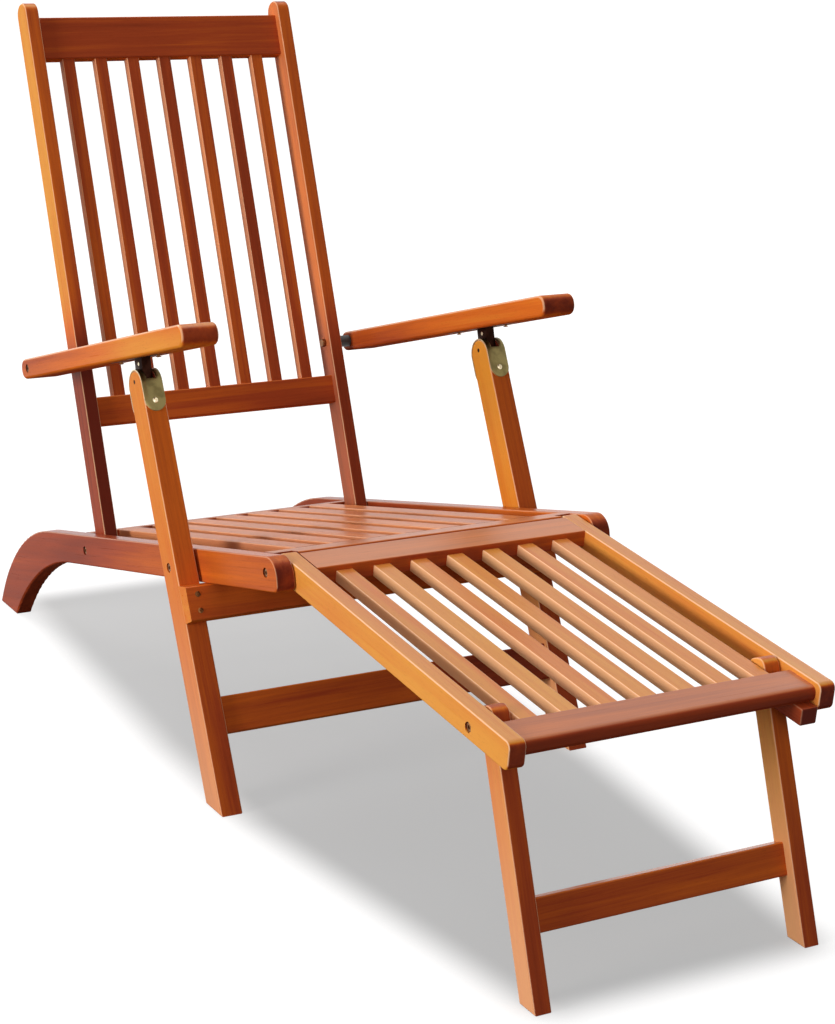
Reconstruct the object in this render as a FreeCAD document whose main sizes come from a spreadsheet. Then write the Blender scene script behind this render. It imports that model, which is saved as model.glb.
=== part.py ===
import FreeCAD, Part
import Sketcher
import math
import operator
import os

# A folding deck chair of hardwood with brass fittings, in millimetres.
# X runs across the chair, Y towards its back and Z up, and it stands on Z = 0.
# In the side view the seat slopes back, the back leans back, the arms lie on
# hooks at the tops of the front legs, and the footrest has folding legs.

doc = FreeCAD.newDocument("deck_chair")
sheet = doc.addObject("Spreadsheet::Sheet", "dims")

DIMENSIONS = {
    # Side rails: they carry the seat and curve down into the rear feet.
    "seat_slope": 13.33, "seat_height": 317.8, "rail_depth": 45, "rail_thick": 25.8,
    "rail_inner": 224, "rail_front": 241, "rail_nose": 26, "rail_chin": 10,
    "foot_bend": 575, "foot_bend_radius": 323, "heel_bend": 490.5, "heel_bend_radius": 426.5,
    # Seat: two cross rails with slats let in between them.
    "front_rail_from": 203.8, "front_rail_wide": 50.8, "front_rail_thick": 22, "notch_wide": 26,
    "notch_deep": 20, "rear_rail_from": 463.5, "rear_rail_wide": 22.5, "rear_rail_thick": 40,
    "slat_pitch": 54, "seat_slat_wide": 34, "seat_slat_thick": 15,
    # Front legs: they cross the side rails at their pivot and hold up the arms.
    "leg_lean": 27, "leg_pivot_y": 13, "leg_pivot_z": 292, "leg_depth": 45, "leg_thick": 31,
    "leg_inner": 254.5, "leg_above": 272, "leg_nose": 22, "hook_pin_up": 257,
    "stop_board_thick": 22, "stop_board_high": 46, "board_screw_low": 12.9, "board_screw_rise": 22.1,
    "leg_rail_top": 181.7, "leg_rail_high": 50, "leg_rail_thick": 22, "leg_rail_recess": 7.5,
    # Brass straps over the leg tops, and the hooks pinned through them.
    "strap_thick": 1.6, "strap_wide": 30, "strap_long": 63.6, "strap_nose": 14.9, "strap_screw_up": 14.6,
    "hook_thick": 13.4, "hook_eye": 13, "hook_neck": 26, "hook_slot": 14, "hook_slot_down": 13.6,
    "hook_slot_front": 3, "hook_head_high": 6, "hook_head_room": 4, "hook_head_gap": 1.5, "pin_radius": 3,
    # Back: two stiles, two cross rails and seven slats.
    "back_lean": 22.2, "back_pivot_y": 412, "back_pivot_z": 197, "stile_depth": 39, "stile_thick": 21,
    "stile_outer": 222.4, "back_long": 840, "stile_nose": 18, "back_top_from": 752,
    "back_top_high": 65, "back_bottom_from": 184.7, "back_bottom_high": 43.3, "back_rail_thick": 22,
    "back_recess": 12.5, "back_slat_pitch": 53, "back_slat_wide": 20, "back_slat_thick": 14.5,
    "back_slat_recess": 3,
    # Arms: each turns on its stile and lies on a hook.
    "arm_slope": 16.1, "arm_pivot_y": 517, "arm_pivot_z": 458, "arm_front": 596, "arm_rear": 27,
    "arm_thick": 30, "arm_inner": 244.5, "arm_wide": 53, "arm_nose": 14, "arm_ease": 4.5,
    "strip_front": 470, "strip_rear": 290, "strip_thick": 2.5, "strip_wide": 26,
    "strip_screw_in": 22, "slot_front": 424, "slot_rear": 357, "groove_deep": 15, "groove_wide": 21.4,
    "groove_past": 4,
    # Footrest: stiles, cross rails and slats on the front of the side rails.
    "rest_slope": 5.31, "rest_pivot_y": 209, "rest_pivot_z": 346, "rest_front": 549.3,
    "rest_depth": 35, "rest_thick": 22.8, "rest_nose": 9, "rest_heel": 6, "rest_tail": 17,
    "rest_top_from": 44.2, "rest_top_wide": 48.4, "rest_top_lean": 5.3, "rest_top_thick": 22.8,
    "rest_end_from": 541.5, "rest_end_wide": 52.4, "rest_end_drop": 5.5, "rest_end_thick": 20,
    "rest_end_round": 8.5,
    "rest_slat_pitch": 53.5, "rest_slat_wide": 24, "rest_slat_thick": 15.8, "rest_slat_drop": 7,
    # Footrest legs: a frame that folds up under the footrest.
    "prop_lean": 19.9, "prop_pivot_y": 670, "prop_pivot_z": 300, "prop_depth": 31, "prop_thick": 23,
    "prop_outer": 198, "prop_above": 20.5, "prop_nose": 12, "prop_rail_from": 239,
    "prop_rail_high": 40, "prop_rail_thick": 19, "block_inner": 174, "block_wide": 24,
    "block_high": 21.7, "block_front": 552,
    # Joints between the timbers, and the pivot bolts.
    "tenon_long": 11, "tenon_thick": 8, "tenon_shoulder": 4, "ease": 2.5, "slat_ease": 1.8,
    "bolt_radius": 3, "bore_radius": 3.05, "head_radius": 5.8, "head_high": 2, "sink_radius": 6.5,
    "sink_deep": 3.2, "nut_radius": 6.4,
    "nut_high": 6, "nut_room": 0.3, "insert_deep": 8.4, "spacer_radius": 9, "running_gap": 0.3,
    "screw_radius": 2, "screw_head": 3.8, "screw_face": 2.74, "screw_head_high": 1.2, "screw_long": 14,
    "board_screw_long": 38,
    # How far a cutting tool reaches out of the timber that it cuts.
    "over": 1,
}

for row, (alias, number) in enumerate(DIMENSIONS.items(), start=1):
    sheet.set("A%d" % row, alias)
    sheet.set("B%d" % row, str(number))
    sheet.setAlias("B%d" % row, alias)
doc.recompute()


class Size:
    """A number together with the sheet expression that gives it."""

    def __init__(self, number, text):
        self.number = number
        self.text = text

    def combine(self, other, sign, action):
        other = as_size(other)
        text = "(%s %s %s)" % (self.text, sign, other.text)
        return Size(action(self.number, other.number), text)

    def __add__(self, other):
        return self.combine(other, "+", operator.add)

    def __sub__(self, other):
        return self.combine(other, "-", operator.sub)

    def __mul__(self, other):
        return self.combine(other, "*", operator.mul)

    def __truediv__(self, other):
        return self.combine(other, "/", operator.truediv)

    def __neg__(self):
        return Size(-self.number, "(0 - %s)" % self.text)


def as_size(value):
    """A plain number as a Size, and a Size as it is."""
    if isinstance(value, Size):
        return value
    return Size(value, "(%.6f)" % value)


def dim(alias):
    """The sheet's value of this name, bound to its cell."""
    return Size(float(sheet.get(alias)), "dims." + alias)


def num(alias):
    """The sheet's value of this name as a plain number."""
    return float(sheet.get(alias))


OVER = num("over")


def side_frame(y, z, degrees):
    """A frame in the side view: its x climbs at this angle from +Y, its z is the chair's +X."""
    turn = math.radians(degrees)
    along = FreeCAD.Vector(0, math.cos(turn), math.sin(turn))
    across = FreeCAD.Vector(0, -math.sin(turn), math.cos(turn))
    rotation = FreeCAD.Rotation(along, across, FreeCAD.Vector(1, 0, 0), "XYZ")
    return FreeCAD.Placement(FreeCAD.Vector(0, y, z), rotation)


def shifted(frame, x, y, z):
    """The frame moved along its own axes."""
    return frame.multiply(FreeCAD.Placement(FreeCAD.Vector(x, y, z), FreeCAD.Rotation()))


PLAIN = side_frame(0, 0, 0)
SEAT = side_frame(0, num("seat_height"), -num("seat_slope"))
LEG = side_frame(num("leg_pivot_y"), num("leg_pivot_z"), 90 - num("leg_lean"))
BACK = side_frame(num("back_pivot_y"), num("back_pivot_z"), 90 - num("back_lean"))
ARM = side_frame(num("arm_pivot_y"), num("arm_pivot_z"), -num("arm_slope"))
REST = side_frame(-num("rest_pivot_y"), num("rest_pivot_z"), num("rest_slope"))
PROP = side_frame(-num("prop_pivot_y"), num("prop_pivot_z"), 90 - num("prop_lean"))

pieces = []


def keep(label, thing):
    """Name a finished sub-part and list it for writing."""
    thing.Label = label
    pieces.append(thing)
    return thing


def base_plane(body):
    """The body's own XY plane."""
    return [item for item in body.Origin.OriginFeatures if item.Role == "XY_Plane"][0]


def new_sketch(body, name):
    """An empty sketch on the body's XY plane."""
    sketch = body.newObject("Sketcher::SketchObject", name)
    sketch.AttachmentSupport = (base_plane(body), [""])
    sketch.MapMode = "FlatFace"
    return sketch


def hold(sketch, kind, axis, item, place, value):
    """Hold a point of the sketch at a bound distance from the origin."""
    size = as_size(value)
    if abs(size.number) < 1e-6:
        sketch.addConstraint(Sketcher.Constraint("PointOnObject", item, place, axis))
        return
    index = sketch.addConstraint(Sketcher.Constraint(kind, -1, 1, item, place, size.number))
    sketch.setExpression("Constraints[%d]" % index, size.text)


def draw_corners(sketch, corners):
    """A closed outline of straight lines through bound corners."""
    points = [FreeCAD.Vector(as_size(x).number, as_size(y).number, 0) for x, y in corners]
    count = len(points)
    for index in range(count):
        sketch.addGeometry(Part.LineSegment(points[index], points[(index + 1) % count]), False)
    for index in range(count):
        sketch.addConstraint(Sketcher.Constraint("Coincident", index, 2, (index + 1) % count, 1))
    for index, (x, y) in enumerate(corners):
        hold(sketch, "DistanceX", -2, index, 1, x)
        hold(sketch, "DistanceY", -1, index, 1, y)


def draw_circle(sketch, x, y, radius):
    """A circle whose radius is bound to the sheet."""
    size = as_size(radius)
    centre = FreeCAD.Vector(as_size(x).number, as_size(y).number, 0)
    item = sketch.addGeometry(Part.Circle(centre, FreeCAD.Vector(0, 0, 1), size.number), False)
    index = sketch.addConstraint(Sketcher.Constraint("Radius", item, size.number))
    sketch.setExpression("Constraints[%d]" % index, size.text)
    hold(sketch, "DistanceX", -2, item, 3, x)
    hold(sketch, "DistanceY", -1, item, 3, y)


def pad(body, sketch, thick):
    """The sketch made solid along the frame's z."""
    feature = body.newObject("PartDesign::Pad", "pad")
    feature.Profile = sketch
    size = as_size(thick)
    feature.Length = size.number
    feature.setExpression("Length", size.text)
    sketch.Visibility = False
    doc.recompute()
    return feature


def bore(body, holes):
    """Round holes right through a body, given as x, y and radius."""
    before = body.Shape.Volume
    sketch = new_sketch(body, "bores")
    for x, y, radius in holes:
        draw_circle(sketch, x, y, radius)
    pocket = body.newObject("PartDesign::Pocket", "bore")
    pocket.Profile = sketch
    pocket.Type = 1
    pocket.Reversed = True
    doc.recompute()
    if body.Shape.Volume > before - 1:
        raise RuntimeError("a bore cut nothing in " + body.Label)


def fillet(body, names, radius):
    """Rounded edges of the body's last feature."""
    size = as_size(radius)
    solid = body.Tip
    feature = body.newObject("PartDesign::Fillet", "round")
    feature.Base = (solid, names)
    feature.Radius = size.number
    feature.setExpression("Radius", size.text)
    doc.recompute()
    return feature


def edge_names(body, wanted):
    """Names of the edges of the body's last feature that pass the test."""
    edges = enumerate(body.Tip.Shape.Edges, start=1)
    return ["Edge%d" % index for index, edge in edges if wanted(edge)]


def direction(edge):
    """From one end of an edge to the other."""
    return edge.valueAt(edge.LastParameter) - edge.valueAt(edge.FirstParameter)


def is_along(edge, axis):
    """True for a straight edge parallel to one of the body's own axes, 0 to 2."""
    way = direction(edge)
    others = [abs(way[index]) for index in range(3) if index != axis]
    return edge.Curve.TypeId == "Part::GeomLine" and max(others) < 1e-6


def is_at(edge, corners):
    """True for an edge along the frame's z that starts at one of these corners."""
    if not is_along(edge, 2):
        return False
    point = edge.valueAt(edge.FirstParameter)
    return any(math.hypot(point.x - x, point.y - y) < 1e-3 for x, y in corners)


def prism(label, frame, corners, from_x, thick, rounds=()):
    """A body with this outline in the side view, reaching from from_x across the chair."""
    body = doc.addObject("PartDesign::Body", label)
    body.Label = label
    sketch = new_sketch(body, "outline")
    draw_corners(sketch, corners)
    pad(body, sketch, thick)
    for picked, radius in rounds:
        places = [(as_size(corners[index][0]).number, as_size(corners[index][1]).number)
                  for index in picked]
        fillet(body, edge_names(body, lambda edge: is_at(edge, places)), radius)
    body.Placement = shifted(frame, 0, 0, as_size(from_x).number)
    return body


def rectangle(x_from, x_to, y_from, y_to):
    """The four corners of an outline, from the low end round to the far side."""
    return [(x_from, y_from), (x_to, y_from), (x_to, y_to), (x_from, y_to)]


def box(label, frame, start, spans):
    """A box with its sizes bound, its corner at start in the frame."""
    item = doc.addObject("Part::Box", label)
    for side, span in zip(("Length", "Width", "Height"), spans):
        size = as_size(span)
        setattr(item, side, size.number)
        item.setExpression(side, size.text)
    item.Placement = shifted(frame, *[as_size(value).number for value in start])
    return item


def disc(label, frame, start, radius, thick):
    """A cylinder along the chair's X, its centre at start in the frame."""
    item = doc.addObject("Part::Cylinder", label)
    for side, value in (("Radius", radius), ("Height", thick)):
        size = as_size(value)
        setattr(item, side, size.number)
        item.setExpression(side, size.text)
    item.Placement = shifted(frame, *[as_size(value).number for value in start])
    return item


def cut(base, tools):
    """The base with the tools taken out of it."""
    item = doc.addObject("Part::Cut", "cut")
    item.Base = base
    item.Tool = group(tools)
    return item


def fuse(things):
    """Several shapes joined into one solid."""
    item = doc.addObject("Part::MultiFuse", "joined")
    item.Shapes = things
    item.Refine = True
    return item


def group(things):
    """Separate solids in one node."""
    item = doc.addObject("Part::Compound", "set")
    item.Links = things
    return item


def cross_rail(label, frame, outline, half_wide, lean=0, front_round="ease"):
    """A cross rail between two timbers, with a tenon at each end let into them.

    The outline is x_from, x_to, y_from and y_to in the frame. Its far side leans out by
    lean at y_to. Returns the rail and its tenon bar, which cuts the mortises.
    """
    x_from, x_to, y_from, y_to = outline
    corners = rectangle(*outline)
    corners[2] = (as_size(x_to) + lean, y_to)
    blank = prism(label + "_blank", frame, corners, -as_size(half_wide), as_size(half_wide) * 2,
                  [((0, 3), dim(front_round)), ((1, 2), dim("ease"))])
    shoulder = dim("tenon_shoulder")
    middle = (as_size(y_from) + y_to) / 2 - dim("tenon_thick") / 2
    if as_size(x_to).number - as_size(x_from).number > as_size(y_to).number - as_size(y_from).number:
        start = (as_size(x_from) + shoulder, middle)
        spans = (as_size(x_to) - x_from - shoulder * 2, dim("tenon_thick"))
    else:
        start = ((as_size(x_from) + x_to) / 2 - dim("tenon_thick") / 2, as_size(y_from) + shoulder)
        spans = (dim("tenon_thick"), as_size(y_to) - y_from - shoulder * 2)
    reach = as_size(half_wide) + dim("tenon_long")
    tenons = box(label + "_tenons", frame, (start[0], start[1], -reach), (spans[0], spans[1], reach * 2))
    return blank, tenons


def slats(stem, frame, x_span, y_span, wide, pitch):
    """Seven slats side by side, their tenons let into the rails at both ends."""
    bars = []
    x_from, x_to = x_span
    y_from, y_to = y_span
    for index in range(7):
        label = "%s_%d" % (stem, index + 1)
        middle = (index - 3) * num(pitch)
        blank = prism(label + "_blank", frame, rectangle(x_from, x_to, y_from, y_to),
                      dim(wide) / -2 + middle, dim(wide))
        fillet(blank, edge_names(blank, lambda edge: is_along(edge, 0)), dim("slat_ease"))
        inset = dim("tenon_shoulder")
        deep = (as_size(y_from) + y_to) / 2 - dim("tenon_thick") / 2
        start = (as_size(x_from) - dim("tenon_long"), deep, dim(wide) / -2 + inset + middle)
        spans = (as_size(x_to) - x_from + dim("tenon_long") * 2, dim("tenon_thick"), dim(wide) - inset * 2)
        tenons = box(label + "_tenons", frame, start, spans)
        keep(label, fuse([blank, tenons]))
        bars.append(tenons)
    return bars


def eased(body, alias="ease"):
    """Round over the long edges of a side timber, on both of its faces."""
    names = edge_names(body, lambda edge: not is_along(edge, 2))
    fillet(body, names, dim(alias))


def sink(label, frame, side, face):
    """The round recess that a bolt's head lies in, in a face this far from the middle."""
    low = face - num("sink_deep") if side == "right" else -face - OVER
    return disc(label, frame, (0, 0, low), dim("sink_radius"), dim("sink_deep") + OVER)


def both_sides(inner, thick):
    """Where a side timber starts on the left and on the right of the chair."""
    inner = as_size(inner)
    return (("left", -inner - thick), ("right", inner))


# Seat: side rails with curved rear feet, cross rails and slats

def bent_rail(label, from_x):
    """A side rail: straight along the seat, then curving down to a flat foot on the floor."""
    body = doc.addObject("PartDesign::Body", label)
    body.Label = label
    sketch = new_sketch(body, "outline")
    slope = math.radians(num("seat_slope"))
    along = FreeCAD.Vector(math.cos(slope), -math.sin(slope), 0)
    down = FreeCAD.Vector(-math.sin(slope), -math.cos(slope), 0)
    crest = FreeCAD.Vector(0, num("seat_height"), 0)
    nose_top = crest - along * num("rail_front")
    nose_low = nose_top + down * num("rail_depth")
    bend_top = crest + along * (num("foot_bend") / math.cos(slope))
    bend_low = crest + along * (num("heel_bend") / math.cos(slope)) + down * num("rail_depth")
    arcs = []
    for start, radius in ((bend_top, num("foot_bend_radius")), (bend_low, num("heel_bend_radius"))):
        centre = start + down * radius
        reach = math.sqrt(radius ** 2 - centre.y ** 2)
        floor_angle = math.atan2(-centre.y, reach)
        arc = Part.ArcOfCircle(Part.Circle(centre, FreeCAD.Vector(0, 0, 1), radius), floor_angle,
                               math.pi / 2 - slope)
        arcs.append((arc, FreeCAD.Vector(centre.x + reach, 0, 0)))
    (top_arc, toe), (low_arc, heel) = arcs
    sketch.addGeometry(Part.LineSegment(nose_top, bend_top), False)
    sketch.addGeometry(top_arc, False)
    sketch.addGeometry(Part.LineSegment(toe, heel), False)
    sketch.addGeometry(low_arc, False)
    sketch.addGeometry(Part.LineSegment(bend_low, nose_low), False)
    sketch.addGeometry(Part.LineSegment(nose_low, nose_top), False)
    for first, end, second, start in ((0, 2, 1, 2), (1, 1, 2, 1), (2, 2, 3, 1), (3, 2, 4, 1), (4, 2, 5, 1),
                                      (5, 2, 0, 1)):
        sketch.addConstraint(Sketcher.Constraint("Coincident", first, end, second, start))
    for item, alias in ((1, "foot_bend_radius"), (3, "heel_bend_radius")):
        index = sketch.addConstraint(Sketcher.Constraint("Radius", item, num(alias)))
        sketch.setExpression("Constraints[%d]" % index, "dims." + alias)
    pad(body, sketch, dim("rail_thick"))
    for end, alias in ((nose_top, "rail_nose"), (nose_low, "rail_chin")):
        fillet(body, edge_names(body, lambda edge: is_at(edge, [(end.x, end.y)])), dim(alias))
    eased(body)
    bore(body, [(num("leg_pivot_y"), num("leg_pivot_z"), dim("bore_radius")),
                (num("back_pivot_y"), num("back_pivot_z"), dim("bore_radius")),
                (-num("rest_pivot_y"), num("rest_pivot_z"), dim("bore_radius"))])
    body.Placement = shifted(PLAIN, 0, 0, from_x)
    return body


front_rail, front_tenons = cross_rail(
    "seat_front_rail", SEAT,
    (-dim("front_rail_from"), -dim("front_rail_from") + dim("front_rail_wide"), -dim("front_rail_thick"), 0),
    dim("rail_inner"))
rear_rail, rear_tenons = cross_rail(
    "seat_rear_rail", SEAT,
    (dim("rear_rail_from"), dim("rear_rail_from") + dim("rear_rail_wide"), -dim("rear_rail_thick"), 0),
    dim("rail_inner"))
seat_bars = slats("seat_slat", SEAT,
                  (-dim("front_rail_from") + dim("front_rail_wide"), dim("rear_rail_from")),
                  (-dim("seat_slat_thick"), 0), "seat_slat_wide", "slat_pitch")
notch_starts = (("left", -dim("rail_inner") - OVER), ("right", dim("rail_inner") - dim("notch_wide")))
notches = [box("notch_" + side, SEAT,
               (-dim("front_rail_from") - OVER, -dim("front_rail_thick") - OVER, from_x),
               (dim("notch_deep") + OVER, dim("front_rail_thick") + OVER * 2, dim("notch_wide") + OVER))
           for side, from_x in notch_starts]
tenon_reach = dim("rail_inner") + dim("tenon_long") + OVER
tenon_clear = box("front_tenon_clear", SEAT,
                  (-dim("front_rail_from") - OVER, -dim("front_rail_thick"), -tenon_reach),
                  (dim("notch_deep") + OVER, dim("front_rail_thick"), tenon_reach * 2))
short_tenons = cut(front_tenons, [tenon_clear])
keep("seat_front_rail", cut(fuse([cut(front_rail, notches), short_tenons]), seat_bars))
keep("seat_rear_rail", cut(fuse([rear_rail, rear_tenons]), seat_bars))
rail_outer = num("rail_inner") + num("rail_thick")
for side, from_x in both_sides(dim("rail_inner"), dim("rail_thick")):
    blank = bent_rail("seat_rail_%s_blank" % side, from_x.number)
    sinks = [sink("back_sink_" + side, BACK, side, rail_outer),
             sink("rest_sink_" + side, REST, side, rail_outer)]
    keep("seat_rail_" + side, cut(blank, [short_tenons, rear_tenons] + sinks))


# Screws, pivot bolts and spacers

def screw(label, frame, place, sign, long):
    """A screw on a face of a frame: its shank goes in along -y for sign 1, along +y for -1."""
    spot = FreeCAD.Vector(*place)
    shank = doc.addObject("Part::Cylinder", label + "_shank")
    shank.setExpression("Radius", "dims.screw_radius")
    shank.setExpression("Height", "dims." + long)
    inward = FreeCAD.Rotation(FreeCAD.Vector(1, 0, 0), 90 * sign)
    shank.Placement = frame.multiply(FreeCAD.Placement(spot, inward))
    head = doc.addObject("Part::Cone", label + "_head")
    head.setExpression("Radius1", "dims.screw_head")
    head.setExpression("Radius2", "dims.screw_face")
    head.setExpression("Height", "dims.screw_head_high")
    outward = FreeCAD.Rotation(FreeCAD.Vector(1, 0, 0), -90 * sign)
    head.Placement = frame.multiply(FreeCAD.Placement(spot, outward))
    return shank, fuse([shank, head])


def screws(stem, frame, places, sign, long):
    """Screws at these places: their shanks, which cut the holes, and the whole screws."""
    made = [screw("%s_%d" % (stem, index), frame, place, sign, long) for index, place in enumerate(places)]
    return [shank for shank, whole in made], [whole for shank, whole in made]


def pivot_bolt(label, frame, sign, head_at, nut_at, has_nut):
    """A bolt along X at a pivot: a low round head in the outer face, a nut on the inner one.

    The nut starts at nut_at and stands inwards. With no nut the shank ends there.
    """
    low = min(head_at * sign, nut_at * sign)
    shank = disc(label + "_shank", frame, (0, 0, low), dim("bolt_radius"), head_at - nut_at)
    head_low = head_at if sign > 0 else -head_at - num("head_high")
    head = disc(label + "_head", frame, (0, 0, head_low), dim("head_radius"), dim("head_high"))
    if not has_nut:
        return fuse([shank, head])
    nut_low = nut_at - num("nut_high") if sign > 0 else -nut_at
    nut = disc(label + "_nut", frame, (0, 0, nut_low), dim("nut_radius"), dim("nut_high"))
    return fuse([shank, head, nut])


def bolt_pair(stem, frame, head_at, nut_at, has_nut=True):
    """The same pivot bolt on the left and on the right."""
    return [pivot_bolt("%s_%s" % (stem, side), frame, sign, head_at, nut_at, has_nut)
            for side, sign in (("left", -1), ("right", 1))]


def spacer_pair(stem, frame, inner, outer):
    """A nylon ring round a pivot bolt on each side, between these distances from the middle."""
    rings = []
    for side, low in (("left", -outer), ("right", inner)):
        ring = disc("%s_%s" % (stem, side), frame, (0, 0, low), dim("spacer_radius"), outer - inner)
        hole = disc("%s_hole_%s" % (stem, side), frame, (0, 0, low), dim("bore_radius"), outer - inner)
        rings.append(cut(ring, [hole]))
    return rings


gap = num("running_gap")
leg_outer = num("leg_inner") + num("leg_thick")
stile_inner = num("stile_outer") - num("stile_thick")
rest_inner = num("stile_outer") - num("rest_thick")
arm_outer = num("arm_inner") + num("arm_wide")
prop_inner = num("prop_outer") - num("prop_thick")

insert_end = num("stile_outer") - num("insert_deep")
sunk = num("sink_deep")
keep("leg_pivot_bolts", group(bolt_pair("leg_bolt", LEG, leg_outer - sunk + gap, num("rail_inner"))))
frame_bolts = bolt_pair("back_bolt", BACK, rail_outer - sunk, stile_inner - gap)
frame_bolts += bolt_pair("rest_bolt", REST, rail_outer - sunk, insert_end + gap, False)
keep("frame_pivot_bolts", group(frame_bolts))
rings = spacer_pair("leg_spacer", LEG, rail_outer, num("leg_inner") - gap)
rings += spacer_pair("back_washer", BACK, num("stile_outer") + gap, num("rail_inner"))
rings += spacer_pair("rest_washer", REST, num("stile_outer") + gap, num("rail_inner"))
keep("seat_spacers", group(rings))


# Front legs: two timbers joined by a stop board above and a cross rail below

def floor_line(frame, y):
    """How far along a leaning frame the floor is, at this y of the frame."""
    climb = frame.Rotation.multVec(FreeCAD.Vector(1, 0, 0)).z
    lift = frame.Rotation.multVec(FreeCAD.Vector(0, 1, 0)).z
    return -(frame.Base.z + y * lift) / climb


def under_rail(y):
    """How far along the legs the side rails' underside is, at this y of the leg frame."""
    slope = math.radians(num("seat_slope"))
    down = FreeCAD.Vector(0, -math.sin(slope), -math.cos(slope))
    along = LEG.Rotation.multVec(FreeCAD.Vector(1, 0, 0))
    across = LEG.Rotation.multVec(FreeCAD.Vector(0, 1, 0))
    crest = FreeCAD.Vector(0, 0, num("seat_height"))
    start = LEG.Base + across * y - crest
    return (num("rail_depth") + gap - start.dot(down)) / along.dot(down)


half_leg = num("leg_depth") / 2
leg_middle = num("leg_inner") + num("leg_thick") / 2
leg_corners = [(floor_line(LEG, -half_leg), dim("leg_depth") / -2), (dim("leg_above"), dim("leg_depth") / -2),
               (dim("leg_above"), dim("leg_depth") / 2), (floor_line(LEG, half_leg), dim("leg_depth") / 2)]
rail_face = dim("leg_depth") / 2 - dim("leg_rail_recess")
leg_rail, leg_rail_tenons = cross_rail(
    "leg_cross_rail", LEG,
    (-dim("leg_rail_top") - dim("leg_rail_high"), -dim("leg_rail_top"), rail_face - dim("leg_rail_thick"),
     rail_face), dim("leg_inner"))
keep("leg_cross_rail", fuse([leg_rail, leg_rail_tenons]))

board_back = half_leg
board_front = board_back + num("stop_board_thick")
board_top = under_rail(board_front)
board_low = board_top - num("stop_board_high")
stop_board = prism("stop_board_blank", LEG,
                   [(board_low, board_back), (under_rail(board_back), board_back), (board_top, board_front),
                    (board_low, board_front)],
                   -leg_outer, leg_outer * 2)
front_edges = [(board_top, board_front), (board_low, board_front)]
fillet(stop_board, edge_names(stop_board, lambda edge: is_at(edge, front_edges)), dim("ease"))
board_places = [(board_low + num("board_screw_low") + num("board_screw_rise") * step, board_front,
                 sign * leg_middle) for sign in (-1, 1) for step in (0, 1)]
board_shanks, board_screws = screws("board_screw", LEG, board_places, 1, "board_screw_long")
keep("leg_stop_board", cut(stop_board, board_shanks))
keep("stop_board_screws", group(board_screws))

strap_end = num("leg_above") + num("strap_thick") - num("strap_long")
strap_face = half_leg + num("strap_thick")
strap_shanks = []
strap_screws = []
for sign in (1, -1):
    up = strap_end + num("strap_screw_up")
    places = [(up, strap_face * sign, leg_middle), (up, strap_face * sign, -leg_middle)]
    made = screws("strap_screw_%s" % ("front" if sign > 0 else "rear"), LEG, places, sign, "screw_long")
    strap_shanks += made[0]
    strap_screws += made[1]
keep("strap_screws", group(strap_screws))

strap_corners = rectangle(strap_end, dim("leg_above") + dim("strap_thick"), -strap_face, strap_face)
straps = []
hook_pins = []
for side, sign in (("left", -1), ("right", 1)):
    middle = leg_middle * sign
    from_x = middle - num("leg_thick") / 2
    top_round = [((1, 2), dim("leg_nose"))]
    leg = prism("front_leg_%s_blank" % side, LEG, leg_corners, from_x, dim("leg_thick"), top_round)
    eased(leg)
    bore(leg, [(0, 0, dim("bore_radius")), (dim("hook_pin_up"), 0, dim("pin_radius"))])
    core = prism("leg_core_" + side, LEG, leg_corners, from_x, dim("leg_thick"), top_round)
    slot_from = middle - num("hook_slot") / 2
    slot = [box("hook_slot_rear_" + side, LEG,
                (dim("hook_pin_up") - dim("hook_slot_down"), -dim("leg_depth"), slot_from),
                (dim("leg_nose") * 3, dim("leg_depth"), dim("hook_slot"))),
            box("hook_slot_front_" + side, LEG,
                (dim("hook_pin_up") - dim("hook_slot_front"), -gap, slot_from),
                (dim("leg_nose") * 3, dim("leg_depth"), dim("hook_slot"))),
            disc("hook_slot_round_" + side, LEG, (dim("hook_pin_up"), 0, slot_from),
                 dim("hook_slot_down"), dim("hook_slot"))]
    head_sink = sink("leg_sink_" + side, LEG, side, leg_outer)
    tools = slot + [leg_rail_tenons, head_sink] + board_shanks + strap_shanks
    keep("front_leg_" + side, cut(leg, tools))
    strap = prism("strap_%s_blank" % side, LEG, strap_corners, middle - num("strap_wide") / 2,
                  dim("strap_wide"), [((1, 2), dim("leg_nose") + dim("strap_thick"))])
    ends = edge_names(strap, lambda edge: is_along(edge, 1) and edge.Vertexes[0].X < strap_end + 1)
    fillet(strap, ends, dim("strap_nose"))
    straps.append(cut(strap, [core] + slot + strap_shanks))
    hook_pins.append(disc("hook_pin_" + side, LEG, (dim("hook_pin_up"), 0, from_x), dim("pin_radius"),
                          dim("leg_thick")))
keep("leg_straps", group(straps))
keep("hook_pins", group(hook_pins))


# Back: two stiles on the rail pivots, joined by two cross rails, with slats between

back_front = dim("stile_depth") / 2 - dim("back_recess")
back_top, back_top_tenons = cross_rail(
    "back_top_rail", BACK,
    (dim("back_top_from"), dim("back_top_from") + dim("back_top_high"), back_front - dim("back_rail_thick"),
     back_front), stile_inner)
back_bottom, back_bottom_tenons = cross_rail(
    "back_bottom_rail", BACK,
    (dim("back_bottom_from"), dim("back_bottom_from") + dim("back_bottom_high"),
     back_front - dim("back_rail_thick"), back_front), stile_inner)
back_bars = slats("back_slat", BACK,
                  (dim("back_bottom_from") + dim("back_bottom_high"), dim("back_top_from")),
                  (back_front - dim("back_slat_recess") - dim("back_slat_thick"),
                   back_front - dim("back_slat_recess")), "back_slat_wide", "back_slat_pitch")
keep("back_top_rail", cut(fuse([back_top, back_top_tenons]), back_bars))
keep("back_bottom_rail", cut(fuse([back_bottom, back_bottom_tenons]), back_bars))

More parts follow.
